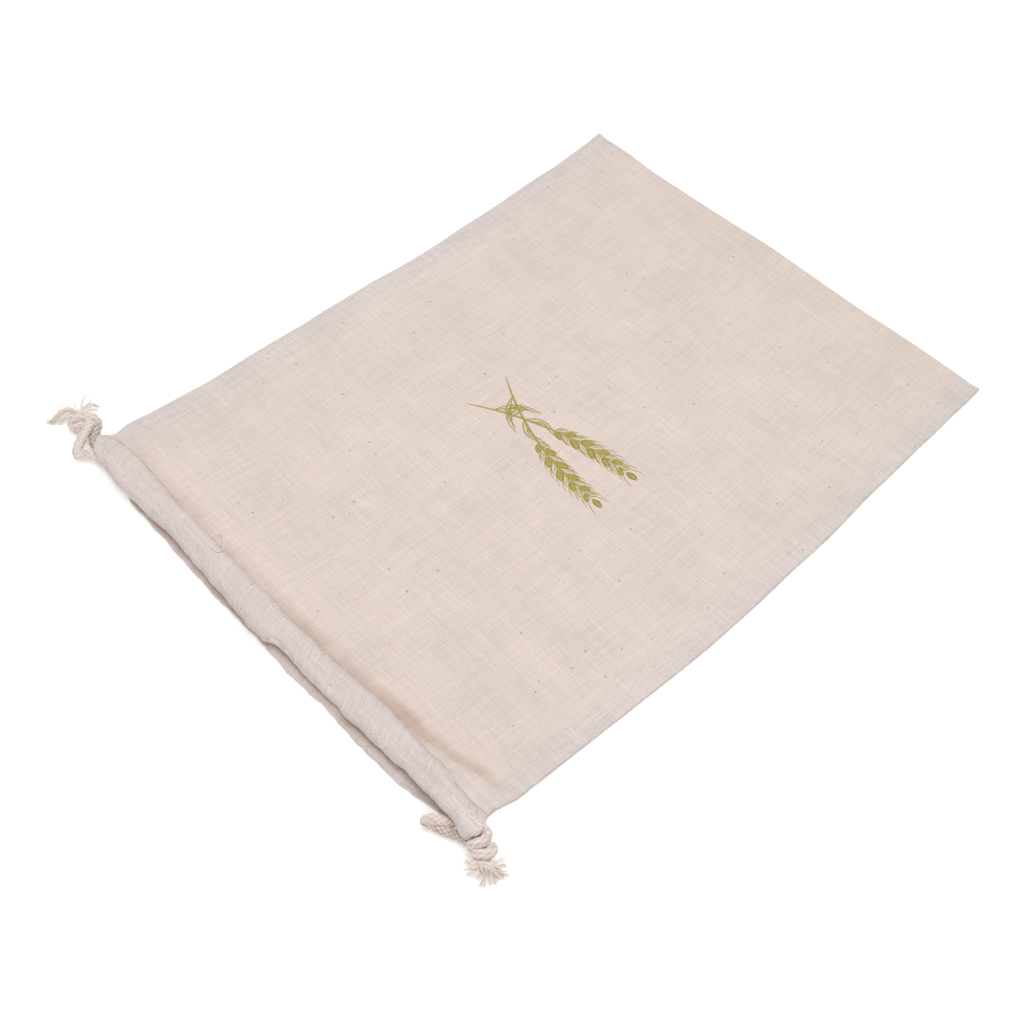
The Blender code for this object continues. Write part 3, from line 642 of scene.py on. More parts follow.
# The bundles of yarn in each tuft: the four points of its curve, its number of fibres and its width.
TUFTS = {
    "left": (
        ((-169.7, -186.9, 8.0), (-177.4, -188.5, 6.5), (-179.8, -194.2, 3.0), (-181.4, -198.2, 1.0), 14, 1.5),
        ((-169.9, -187.5, 7.5), (-177.6, -189.2, 5.0), (-179.0, -194.9, 2.5), (-181.8, -199.0, 0.8), 14, 1.5),
        ((-169.7, -187.7, 7.0), (-176.0, -189.8, 4.5), (-177.9, -194.5, 2.0), (-180.0, -198.3, 0.8), 14, 1.5),
        ((-170.0, -188.2, 6.0), (-174.4, -190.4, 4.0), (-175.6, -193.0, 2.0), (-176.2, -195.6, 0.8), 12, 1.3),
        ((-169.7, -187.5, 8.5), (-176.7, -187.6, 7.0), (-179.5, -191.7, 4.5), (-179.9, -196.2, 2.0), 10, 1.2),
        ((-172.1, -187.8, 7.5), (-179.6, -188.2, 6.0), (-182.5, -189.0, 5.0), (-183.8, -190.1, 4.0), 3, 0.4),
        ((-173.4, -187.5, 7.0), (-179.4, -189.1, 5.5), (-181.0, -190.2, 5.0), (-182.0, -191.5, 4.0), 2, 0.3),
        ((-173.9, -187.9, 6.0), (-179.9, -190.8, 4.0), (-182.1, -191.8, 3.5), (-183.5, -193.1, 3.0), 3, 0.4),
        ((-174.8, -188.6, 5.0), (-179.6, -192.4, 3.0), (-181.2, -193.9, 2.5), (-183.3, -194.4, 2.0), 2, 0.3),
        ((-169.4, -186.5, 8.0), (-174.4, -182.0, 6.5), (-179.8, -176.5, 4.0), (-180.5, -173.3, 3.0), 7, 0.6),
        ((-169.9, -186.7, 8.5), (-172.6, -185.3, 8.0), (-175.5, -184.5, 7.0), (-178.5, -183.3, 6.0), 3, 0.5),
        ((-168.9, -186.1, 8.5), (-171.5, -181.7, 7.5), (-174.2, -177.1, 5.5), (-177.1, -174.2, 4.5), 7, 0.8),
        ((-168.2, -186.0, 9.0), (-170.3, -181.2, 8.5), (-171.3, -176.8, 7.0), (-169.7, -173.9, 5.5), 11, 1.1),
        ((-167.9, -185.6, 9.0), (-169.1, -181.5, 8.5), (-169.7, -177.3, 7.0), (-168.8, -174.4, 5.0), 11, 1.1),
        ((-167.2, -185.4, 9.0), (-167.9, -181.7, 8.5), (-168.1, -178.6, 7.0), (-168.0, -175.7, 5.0), 10, 1.0),
        ((-169.2, -185.9, 8.5), (-170.5, -183.0, 8.5), (-171.9, -179.5, 7.5), (-172.9, -176.0, 6.0), 9, 0.9),
        ((-169.0, -186.7, 8.5), (-170.9, -184.6, 8.5), (-172.0, -181.9, 8.0), (-172.6, -179.4, 7.0), 8, 0.9),
        ((-171.0, -187.2, 8.0), (-173.1, -187.5, 8.0), (-176.4, -187.2, 7.0), (-179.3, -187.4, 6.0), 6, 0.7),
    ),
    "right": (
        ((157.7, -217.3, 9.0), (156.0, -218.0, 7.0), (153.5, -217.4, 5.0), (150.8, -216.3, 4.0), 4, 0.4),
        ((158.8, -217.8, 8.5), (157.6, -218.8, 6.0), (154.9, -218.4, 4.0), (152.2, -218.2, 3.0), 10, 0.9),
        ((158.0, -217.6, 8.0), (156.5, -218.9, 5.5), (154.3, -219.4, 4.0), (151.9, -219.7, 3.0), 4, 0.4),
        ((159.7, -217.9, 7.0), (158.2, -219.2, 4.0), (156.1, -220.7, 3.0), (154.7, -222.9, 2.0), 3, 0.35),
        ((160.6, -218.1, 6.5), (158.8, -219.9, 4.0), (157.4, -221.4, 2.0), (157.4, -222.1, 1.0), 5, 0.5),
        ((160.2, -217.7, 6.5), (159.1, -218.9, 4.5), (157.3, -219.4, 3.0), (155.7, -219.7, 2.5), 6, 0.6),
        ((161.5, -217.8, 6.5), (161.8, -218.5, 4.0), (161.4, -219.2, 2.5), (161.7, -219.7, 1.0), 5, 0.6),
        ((162.8, -217.1, 6.5), (164.0, -218.3, 4.0), (164.4, -219.9, 2.0), (164.7, -221.8, 1.0), 8, 0.8),
        ((162.9, -216.6, 6.0), (164.5, -218.1, 3.5), (165.5, -219.5, 2.0), (166.4, -220.5, 1.0), 6, 0.6),
        ((163.9, -216.3, 6.0), (165.5, -217.0, 3.5), (166.7, -217.5, 2.0), (167.7, -218.1, 1.0), 6, 0.6),
        ((164.3, -215.5, 6.5), (165.9, -215.6, 4.0), (167.5, -215.7, 2.0), (168.9, -215.9, 1.0), 13, 1.3),
        ((164.4, -215.1, 7.0), (165.8, -214.6, 4.5), (167.0, -214.0, 2.5), (168.2, -213.8, 1.5), 8, 0.9),
        ((164.5, -213.9, 7.5), (166.3, -212.4, 5.5), (168.1, -210.8, 3.5), (169.7, -208.9, 2.0), 15, 1.5),
        ((164.7, -214.1, 7.0), (166.6, -213.1, 4.5), (168.1, -211.9, 2.5), (169.2, -210.7, 1.2), 10, 1.1),
        ((164.1, -213.0, 8.5), (165.4, -211.6, 7.0), (166.0, -209.5, 5.5), (166.4, -207.4, 4.5), 12, 1.3),
        ((163.5, -212.5, 9.0), (164.5, -210.8, 8.0), (164.9, -208.6, 7.0), (164.9, -205.6, 6.0), 4, 0.5),
        ((162.9, -212.5, 9.0), (163.6, -210.6, 8.5), (163.9, -208.9, 8.0), (164.0, -207.0, 7.0), 5, 0.5),
        ((158.7, -216.6, 9.5), (160.4, -217.5, 8.5), (162.5, -217.5, 6.5), (164.0, -216.9, 4.5), 12, 1.2),
        ((160.3, -215.1, 9.8), (162.3, -216.0, 9.0), (163.5, -216.7, 7.0), (164.9, -216.6, 4.5), 12, 1.2),
        ((161.6, -213.8, 9.5), (163.7, -214.2, 8.7), (165.0, -214.4, 7.0), (165.5, -215.3, 4.5), 12, 1.2),
        ((158.3, -217.3, 9.0), (159.6, -218.4, 7.5), (161.1, -218.5, 5.0), (162.8, -217.8, 3.0), 10, 1.0),
        ((160.1, -216.1, 9.8), (162.1, -215.0, 9.8), (164.2, -215.0, 8.5), (164.3, -216.2, 6.5), 9, 0.8),
        ((161.6, -215.1, 9.8), (160.9, -216.8, 9.6), (161.4, -218.1, 7.8), (162.9, -217.9, 5.8), 9, 0.8),
        ((162.7, -213.0, 9.5), (162.8, -215.0, 9.5), (161.6, -216.6, 9.0), (162.1, -217.8, 7.0), 8, 0.8),
        ((159.6, -216.8, 9.3), (162.1, -216.8, 9.0), (163.7, -215.2, 8.5), (164.1, -212.9, 7.5), 8, 0.8),
        ((162.6, -212.3, 9.3), (164.3, -212.6, 8.3), (165.6, -212.7, 6.5), (166.8, -212.2, 5.0), 9, 1.0),
    ),
}


def in_knot(side, local):
    """Places along, across and up from a knot's centre, carried to the bag's own directions."""
    turn = math.radians(KNOTS[side]["heading"])
    axes = [[math.cos(turn), math.sin(turn), 0.0], [-math.sin(turn), math.cos(turn), 0.0], [0.0, 0.0, 1.0]]
    return np.array(KNOTS[side]["centre"]) + np.asarray(local) @ np.array(axes)


def tied_knot(side):
    """A pulled-tight overhand knot of braided cord: each strand is a tube along its smooth curve.

    A strand keeps its radius up to its last fifth, and shrinks there to six tenths of it.
    """
    reference = unit(in_knot(side, (1, 0.2, 0.1)) - in_knot(side, (0, 0, 0)))
    strands = []
    for radius, lay, local in KNOTS[side]["strands"]:
        line = smooth_route(in_knot(side, local), 30)
        along = np.arange(0, lengths_along(line)[-1], KNOT_STEP)
        thick = radius * (1 - 0.4 * smoothstep((along / along[-1] - 0.8) / 0.2))
        strands.append(braided(at_lengths(line, along), along, thick, lay, reference, BRAID_DEPTH))
    points, faces, gap, uv = zip(*strands)
    faces = np.vstack([f + first for f, first in zip(faces, running([len(p) for p in points]))])
    values = {"braid_depth": np.concatenate(gap)}
    knot = mesh_piece(f"tied_knot_{side}", np.vstack(points), faces, COTTON, np.vstack(uv), values)
    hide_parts(f"knot_{side}")
    return knot


def fibres(paths, radius):
    """Many thin four-sided tubes at once, from an array of paths and the radius at each of their points."""
    tangent = unit(np.gradient(paths, axis=1))
    side = unit(np.cross(np.array([0.0, 0.0, 1.0]), tangent))
    top = np.cross(tangent, side)
    turn = np.arange(4) * math.pi / 2
    ring = top[:, :, None] * np.cos(turn)[:, None] + side[:, :, None] * np.sin(turn)[:, None]
    points = paths[:, :, None] + ring * radius[:, :, None, None]
    number = np.arange(points[..., 0].size).reshape(points.shape[:3])
    after = np.roll(number, -1, axis=2)
    walls = np.stack([number[:, :-1], number[:, 1:], after[:, 1:], after[:, :-1]], axis=-1).reshape(-1, 4)
    ends = np.vstack([number[:, 0], number[:, -1, ::-1]])
    return points.reshape(-1, 3), np.vstack([walls, ends])


def frayed_tuft(side, seed):
    """The loose end of both cords: bundles of yarn out of the knot, and the fibres of each.

    A bundle's curve is the cubic through its four points. A fibre keeps its own place across the bundle,
    which opens along the way as a parabola, stops at its own share of the curve, and swings to and fro by a
    wave that grows along it. It thins towards its tip, and has a little painted shade near the knot.
    """
    random = np.random.default_rng(seed)
    bundles = TUFTS[side]
    which = np.repeat(np.arange(len(bundles)), [b[4] for b in bundles])
    each = (len(which), 1)
    curve = np.array([b[:4] for b in bundles])[which]
    width = np.array([b[5] for b in bundles])[which][:, None]
    t = np.linspace(0, 1, FIBRE_POINTS) * np.clip(random.normal(0.97, 0.09, each), 0.7, 1.1)
    paths = cubic_through(curve, t)
    tangent = unit(np.gradient(paths, axis=1))
    aside = unit(np.cross(np.array([0.0, 0.0, 1.0]), tangent))
    above = np.cross(tangent, aside)
    open_out = width / 2 * (0.55 + 0.35 * t + 0.35 * t**2)
    swing = 0.14 * np.sin(random.uniform(5, 11, each) * t + random.uniform(0, 6.3, each)) * t
    one = np.clip(random.normal(0, 0.75, each), -1.5, 1.5) * open_out + swing
    two = np.clip(random.normal(0, 0.45, each), -1, 1) * open_out
    paths = paths + one[..., None] * aside + two[..., None] * above
    paths[..., 2] = np.maximum(paths[..., 2], LOWEST_FIBRE)
    points, faces = fibres(paths, (0.24 - 0.11 * t**1.5) * random.uniform(0.75, 1.2, each))
    # painted shade near the knot, and a random tone for each fibre
    shade = 0.65 * smoothstep(1 - t / 0.4) * random.uniform(0.2, 1, each) + random.uniform(0, 0.18, each)
    uv = np.stack([points[:, 0] + points[:, 2], points[:, 1]], axis=1) * MM
    values = {"braid_depth": np.repeat(shade.ravel(), 4)}
    tuft = mesh_piece(f"frayed_tuft_{side}", points, faces, LOOSE_COTTON, uv, values)
    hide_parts(f"frayed_end_{side}")
    return tuft


knots = {side: tied_knot(side) for side in KNOTS}
tufts = {side: frayed_tuft(side, seed) for side, seed in (("left", 5), ("right", 11))}
drawstring(
    "front",
    FRONT_ROUTE,
    leads=(5.0, 0.3),
    hidden=(-139, 139),
    shaded_ends=(0.0, 0.0),
)
drawstring(
    "back",
    BACK_ROUTE,
    leads=(2.5, 2.5),
    hidden=(-145, 126),
    shaded_ends=(17.0, 25.0),
)

# ---------------------------------------------------------------- cloth of the bag

CLOTH = 0.45  # thickness of the linen
ALLOWANCE = 11.0  # width of the seam allowance turned in along each side
FLAP_GAP = 0.72  # from a layer to its turned-in allowance
BACK_LEVEL = 0.25  # height of the middle of the layer that lies on the table
FRONT_LEVEL = 2.0  # the same for the front of the bag, where it is flat
SEAM_LEVEL = 2.4  # and over the allowances
ROLL_ROOM = 3.1  # from a cord's centre line to the middle of the cloth over it
BACK_LIP = 0.7  # radius of the back channel's edge along the bag
CLOSING = 3.5  # length over which the front channel's right end is drawn in round its cord
ROUND_ROLL = 0.9  # power of the front channel's rolled section where it is round
FRONT_CHANNEL = (-147, 147)  # x of its ends
BACK_CHANNEL = (-146, 132)
LOOP_Y = -207  # before it, a cord's route is out of its channel
STITCH_ENDS = {"left": -184.0, "right": -195.5}  # y of the stitching where it meets the sides
CORNER_Y = 211.8  # y of the closed end's corners
BODY_LENGTH = 401.0  # from the stitching to the fold
COLUMN = 1.75  # spacing of the columns of points across the bag
COLUMNS_OVER = 300.0  # width that they are spread over
BACK_OUT = 1.0  # how much further out than the front's the back's left side lies
FOLD_ROWS = 9

# x of the bag's left and right side.
SIDES = table(
    "y left right",
    (-190, -152.2, 142.8),
    (-185, -151.6, 144.0),
    (-178, -150.0, 145.8),
    (-170, -151.0, 146.2),
    (-160, -150.0, 146.9),
    (-148, -149.0, 147.5),
    (-134, -148.1, 148.4),
    (-120, -147.0, 149.1),
    (-104, -147.0, 150.2),
    (-86, -147.2, 151.2),
    (-68, -146.9, 152.2),
    (-50, -146.5, 153.0),
    (-32, -146.7, 153.2),
    (-14, -146.5, 153.3),
    (4, -146.3, 153.1),
    (22, -145.3, 152.5),
    (40, -144.8, 152.5),
    (58, -145.0, 152.3),
    (76, -145.9, 151.2),
    (94, -146.0, 150.1),
    (112, -146.6, 149.6),
    (130, -147.7, 149.1),
    (148, -148.3, 148.4),
    (166, -148.5, 148.1),
    (184, -149.9, 147.4),
    (200, -151.3, 147.2),
    (212, -152.8, 146.6),
)
# y of the fold along the closed end.
CLOSED_END = table(
    "x fold",
    (-149, 212.7),
    (-138, 213.0),
    (-125, 213.0),
    (-110, 211.8),
    (-95, 211.7),
    (-80, 212.0),
    (-60, 212.3),
    (-40, 212.9),
    (-20, 214.1),
    (0, 214.1),
    (20, 213.5),
    (40, 213.0),
    (60, 212.7),
    (80, 213.2),
    (100, 213.3),
    (120, 213.1),
    (134, 212.6),
    (145, 211.9),
)
# y of the stitching, how far before its cord the front channel ends, and y of the back channel's edge.
MOUTH = table(
    "x stitch reach back",
    (-153, -184, 3.0, -192.4),
    (-136, -180.8, 3.0, -192.4),
    (-119, -181.4, 3.0, -197.0),
    (-108, -182.6, 3.0, -200.3),
    (-97, -184, 3.0, -201.2),
    (-82, -185.2, 3.0, -202.2),
    (-69, -186.2, 3.0, -203.7),
    (-50, -187.2, 3.05, -205.1),
    (-28, -188.2, 3.0, -206.5),
    (-1, -190, 3.0, -207.6),
    (24, -190.5, 3.0, -209.7),
    (45, -190.8, 3.0, -210.1),
    (71, -189.9, 3.0, -211.4),
    (88, -191.2, 3.0, -212.4),
    (101, -192.6, 3.4, -212.4),
    (116, -194, 4.1, -210.8),
    (122, -194.7, 3.9, -210),
    (128, -195.2, 4.1, -209.2),
    (133, -195.5, 4.3, -208.4),
    (137, -195.6, 5.0, -208),
    (140, -195.6, 6.9, -207.6),
    (144, -195.5, 8.4, -206.9),
    (149, -195.4, 9.0, -206),
)
# x of the front channel's ends, by the share of the way from its edge to the stitching.
FRONT_ENDS = table(
    "share left right",
    (0, -137.8, 148.4),
    (0.06, -139.8, 148.6),
    (0.16, -143.2, 148.9),
    (0.35, -146.8, 149.0),
    (0.5, -148.4, 148.7),
    (0.6, -149.5, 147.5),
    (0.73, -150.6, 145.9),
    (0.87, -151.3, 144.1),
    (1, -151.6, 143),
)
# x of the back channel's ends in the same way.
BACK_ENDS = table(
    "share left right",
    (0, -139, 131.3),
    (0.06, -140.4, 132.0),
    (0.16, -142.6, 132.6),
    (0.35, -146.2, 133.4),
    (0.6, -149, 135.0),
    (0.8, -151, 138.5),
    (1, -151.6, 143),
)
# How far behind the stitching the middle of the hollow's painted shade lies, and how strong that painted
# shade is.
TROUGH = table(
    "x strength middle",
    (-150, 0, 2.9),
    (-122, 0.3, 2.9),
    (-95, 0.55, 2.9),
    (-60, 0.45, 2.9),
    (-28, 0.42, 2.9),
    (0, 0.6, 2.9),
    (35, 0.9, 2.9),
    (60, 1.0, 3.0),
    (80, 1.0, 4.0),
    (100, 0.9, 6.3),
    (110, 0.85, 8.8),
    (121, 0.75, 12.4),
    (132, 0.6, 14.3),
    (143, 0.3, 17.5),
)
# Low swells of the front: centre, reach in both directions and height.
SWELLS = table(
    "x y reach_x reach_y height",
    (-95, -60, 45, 70, 0.7),
    (60, -95, 60, 50, 0.9),
    (10, 40, 70, 45, 0.5),
    (95, 120, 40, 60, 0.6),
    (-60, 150, 60, 50, 0.5),
    (70, -165, 40, 9, 0.9),
    (120, -168, 18, 7, 1.1),
)
# Creases of the front: its two ends, half width and height, which is below 0 for a furrow.
CREASES = table(
    "x0 y0 x1 y1 wide high",
    (12, -187.6, 60, -187.4, 1.9, -0.5),
    (60, -187.2, 100, -185.8, 2.1, -0.7),
    (98, -185.8, 116, -184.0, 1.8, -0.7),
    (114, -183.4, 130, -179.4, 1.6, -0.9),
    (128, -179.8, 143, -177.4, 1.5, -0.9),
    (118, -189, 140, -184.5, 1.6, 0.9),
    (119, -195.9, 138.4, -196.6, 1.1, -1.3),
    (130, -192.4, 142, -189.6, 0.9, -0.5),
    (134.4, -181.2, 142.9, -182.7, 0.9, 0.5),
    (-147, -185.6, -131, -184.6, 0.9, -0.55),
    (-131, -184.6, -99, -186.2, 0.9, -0.55),
    (-149.4, -180.6, -116, -181.2, 0.8, -0.45),
    (-116, -181.2, -78, -186.8, 0.9, -0.4),
    (-134.7, 68, -83, 73.6, 2.2, -0.16),
    (-83, 73.6, -18, 68.6, 2.4, -0.16),
    (-18, 68.6, 115.9, 67.7, 2.6, -0.14),
)


def stitching(x):
    """y of the stitching of both channels at x."""
    return read(MOUTH, "stitch", x)


def sides_at(y):
    """x of the bag's left and right side at y."""
    return read(SIDES, "left", y), read(SIDES, "right", y)


def held_line(route, first_x, last_x, x):
    """y and z of a cord's centre line at x, from the route's points inside its channel."""
    xs, ys, zs = np.array([p for p in route if first_x <= p[0] <= last_x and p[1] > LOOP_Y]).T
    return through(x, xs, ys), through(x, xs, zs)


def front_line(x):
    """y and z of the front cord at x."""
    return held_line(FRONT_ROUTE, -142, 148, x)


def back_line(x):
    """y and z of the back cord at x."""
    return held_line(BACK_ROUTE, -149, 131, x)


def room(x, left, right):
    """From a cord's centre line to the cloth over it: more at both ends, where an allowance is turned in."""
    from_end = np.minimum(x - left, right - x)
    return ROLL_ROOM + 0.8 * (1 - smoothstep((from_end - 9) / 6))


def stitch_level(x):
    """Height of the front's top layer where both channels are stitched: it is held up by the back channel."""
    return 5.2 - 1.9 * smoothstep((x - 118) / 18) - 0.9 * smoothstep((-143 - x) / 9)


def pucker(x, behind):
    """Small gathers along the stitching, which fade away from it on both sides as a bell."""
    return 0.34 * ripple(x + 0.4 * behind, 0, 8, 51) * bell(behind / 4.5)


def swell(x, y):
    """Sum of the low round swells of the bag's front, and a slight unevenness all over."""
    total = 0.12 * ripple(x, y, 55, 3) + 0.05 * ripple(x, y, 19, 4)
    for cx, cy, rx, ry, height in zip(*SWELLS.values()):
        total = total + height * np.exp(-(((x - cx) / rx) ** 2) - ((y - cy) / ry) ** 2)
    return total


def creases(x, y):
    """Sum of the creases: each a round ridge or furrow along its line, which fades out at both ends."""
    total = np.zeros_like(x)
    for x0, y0, x1, y1, wide, high in zip(*CREASES.values()):
        dx, dy = x1 - x0, y1 - y0
        length = math.hypot(dx, dy)
        on = ((x - x0) * dx + (y - y0) * dy) / length
        off = ((x - x0) * dy - (y - y0) * dx) / length
        total = total + high * within(on, -3, length + 3, 6) * bell(off / wide)
    return total


def back_hem_top(x, y):
    """Middle of the back channel's upper layer: flat on the lower one, and an arch over the cord."""
    line_y, line_z = back_line(x)
    arch = line_z + room(x, *BACK_CHANNEL) * (1 - np.abs((y - line_y) / 4.9) ** 2.4)
    from_edge = y - read(MOUTH, "back", x)
    puff = 0.5 * smoothstep(from_edge / 3) + 0.25 * ripple(x, y, 24, 8)
    return soft_max(BACK_LEVEL + 1.25 + puff, arch * smoothstep((139 - x) / 6))


def front_hem_top(x, y):
    """Middle of the front channel's upper layer, from its cord's centre line to the stitching.

    It leaves the front cord level, sags a little on its way to the back cord's arch, and goes down from there
    to the stitching along a quarter wave. The gathers and creases are added to it.
    """
    front_y, front_z = front_line(x)
    back_y, back_z = back_line(x)
    stitch = stitching(x)
    over_front = front_z + room(x, *FRONT_CHANNEL)
    fade = smoothstep((x - 116) / 14)
    over_back = (back_z + room(x, *BACK_CHANNEL) + 1.2) * (1 - fade) + (stitch_level(x) + 2.2) * fade
    back_y = np.minimum(back_y, stitch - 3.5)
    between = np.clip((y - front_y) / (back_y - front_y), 0, 1)
    down = np.clip((y - back_y) / (stitch - back_y), 0, 1)
    level = over_front + (over_back - over_front) * smoothstep(between)
    level = level - 0.7 * np.sin(math.pi * between) ** 2
    level = level - (over_back - stitch_level(x)) * (1 - np.cos(math.pi / 2 * down))
    return level + pucker(x, y - stitch) + creases(x, y) * within(x, -152, 148, 5)


def front_hem_under(x, y):
    """Middle of the front channel's lower layer: slack under its cord, and up over the back channel."""
    bed = np.maximum(front_line(x)[1] - room(x, *FRONT_CHANNEL) - 0.9, BACK_LEVEL)
    on_back = soft_max(bed, back_hem_top(x, y) + 0.6)
    near = smoothstep((y - stitching(x) + 3) / 3)
    return on_back + (stitch_level(x) - 0.55 - on_back) * near


def body_front(x, y, sides):
    """Middle of the bag's front behind the stitching, between its left and its right side.

    It comes down from the stitching's height as a power of e, with two furrows at the channel, and has the
    swells, creases and gathers on it. What is higher than the seams is drawn in to a quarter round at each
    side, and the last stretch goes down to the fold.
    """
    from_side = np.minimum(x - sides[0], sides[1] - x)
    to_fold = read(CLOSED_END, "fold", x) - y
    behind = y - stitching(x)
    flat = FRONT_LEVEL + (SEAM_LEVEL - FRONT_LEVEL) * (1 - smoothstep((from_side - ALLOWANCE) / 3))
    inside = smoothstep(np.minimum(from_side, to_fold) / 28) * smoothstep(behind / 14)
    level = flat + (stitch_level(x) - flat) * np.exp(-np.maximum(behind, 0) / 4.2) + inside * swell(x, y)
    level = level - 0.5 * bell((behind - 3.0) / 1.8) * smoothstep(from_side / 20)
    gathers = pucker(x, behind) - 0.35 * bell((behind - 0.9) / 0.9)
    level = level + creases(x, y) * smoothstep(from_side / 3) + gathers * smoothstep(from_side / 6)
    excess = np.maximum(level - SEAM_LEVEL, 0) * smoothstep(behind / 3)
    shoulder = np.clip(from_side / (1.3 * excess + 0.3), 0, 1)
    level = level - excess * (1 - np.sqrt(1 - (1 - shoulder) ** 2))
    drop = (1 - smoothstep(to_fold / 7)) * smoothstep(from_side / 6) * 0.9
    return level - (level - BACK_LEVEL - 1.3) * drop


def columns():
    """Shares of the width at which the cloth has columns: even, and closer at both sides."""
    even = np.linspace(0, 1, round(COLUMNS_OVER / COLUMN) + 1)
    close = np.array([0.4, 0.9]) / COLUMNS_OVER
    return np.unique(np.concatenate([even, close, 1 - close]))


def stretches(under, turned, over):
    """A channel's rows in three stretches: its lower layer, round its edge, and its upper layer.

    Returns the rows of each as a slice, then the shares of the way in the first, the turn in the middle one,
    which is level at 0 and grows upwards, and the shares in the last.
    """
    rows = slice(under), slice(under, under + turned), slice(under + turned, under + turned + over)
    down = np.linspace(0, 1, under, endpoint=False)[:, None]
    turn = np.linspace(-math.pi / 2, math.pi / 2, turned)[:, None]
    up = np.linspace(0, 1, over + 1)[1:, None]
    return rows, down, turn, up


def hem_outline(count, row_y, edge, ends):
    """x and y of a channel's rows. row_y gives a row's y at x; its ends depend on its share of the way.

    The two are found in turn, five times, from a straight start.
    """
    across = columns()
    x = np.tile(np.linspace(-145, 145, len(across)), (count, 1))
    for _ in range(5):
        front = edge(x)
        share = np.clip((row_y(x) - front) / (stitching(x) - front), 0, 1)
        left = read(ends, "left", share[:, :1])
        right = read(ends, "right", share[:, -1:])
        x = left + (right - left) * across
    return x, row_y(x)


def body_rows():
    """Shares of the way from the stitching to the fold of the body's rows: close at both ends."""
    near = np.concatenate([np.arange(0.8, 14, 0.8), np.arange(14, 34, 1.6)])
    last = BODY_LENGTH - np.array([6.2, 4.6, 3.2, 2.0, 1.0])
    return np.concatenate([near, np.linspace(34, 393, 108), last]) / BODY_LENGTH


def body_outline(shares):
    """x and y of rows of the body at shares of the way from the stitching to the fold, and its two sides."""
    feet = STITCH_ENDS.items()
    left, right = (read(SIDES, side, foot + shares * (CORNER_Y - foot))[:, None] for side, foot in feet)
    x = left + (right - left) * columns()
    stitch = stitching(x)
    return x, stitch + shares[:, None] * (read(CLOSED_END, "fold", x) - stitch), (left, right)


def with_allowances(surface):
    """Adds the turned-in allowances to a layer: past each side the cloth turns round under itself and back.

    The turn is a half circle across the layer, whose diameter is the gap. The allowance is the layer's own
    strip along the side, moved in by the gap along the layer's normal.
    """
    normal = unit(np.cross(np.gradient(surface, axis=1), np.gradient(surface, axis=0)))
    step = np.median(np.linalg.norm(np.diff(surface[:, 3:-3], axis=1), axis=2))
    count = round(ALLOWANCE / step)
    turn = np.linspace(0, math.pi, 7)[1:-1, None]
    flaps = []
    for way in (1, -1):
        layer, up = surface[:, ::way], normal[:, ::way]
        out = unit(layer[:, :1] - layer[:, 2:3])
        edge = up[:, :1]
        bend = layer[:, :1] - edge * FLAP_GAP / 2 + (edge * np.cos(turn) + out * np.sin(turn)) * FLAP_GAP / 2
        strip = (layer - up * FLAP_GAP)[:, :count]
        flaps.append(np.concatenate([bend, strip], axis=1))
    left, right = flaps
    return np.concatenate([left[:, ::-1], surface, right], axis=1)


def cloth_shell(name, surface, values):
    """A closed sheet, half its thickness to each side of its middle surface, and its flat size in metres.

    Its UV and its flat size are worked out from the mean step between its columns and between its rows.
    """
    rows, cols = surface.shape[:2]
    normal = unit(np.cross(np.gradient(surface, axis=1), np.gradient(surface, axis=0)))
    points = np.stack([surface + normal * CLOTH / 2, surface - normal * CLOTH / 2]).reshape(-1, 3)
    down = np.linalg.norm(np.diff(surface, axis=0), axis=2).mean(axis=1)
    wide = np.linalg.norm(np.diff(surface, axis=1), axis=2).mean(axis=0)
    uv = np.stack(np.meshgrid(running(wide), running(down)), axis=-1).reshape(-1, 2) * MM
    both = {key: np.tile(value.ravel(), 2) for key, value in values.items()}
    made = mesh_piece(name, points, shell_quads(rows, cols), LINEN, np.vstack([uv, uv]), both)
    return made, (wide.sum() * MM, down.sum() * MM)


def roundness(x):
    """Power of the front channel's rolled section: it is squarer towards the right end."""
    return ROUND_ROLL - 0.48 * smoothstep((x - 134) / 8)


def lip_wave(x):
    """How far the front channel's edge wanders along the bag, with a notch and a bump in the middle."""
    wave = 0.35 * ripple(x, 0, 17, 21) + 0.2 * ripple(x, 0, 7, 22)
    return wave + 1.8 * bell((x - 8.6) / 2.8) - 0.9 * bell((x - 2.6) / 3.0)


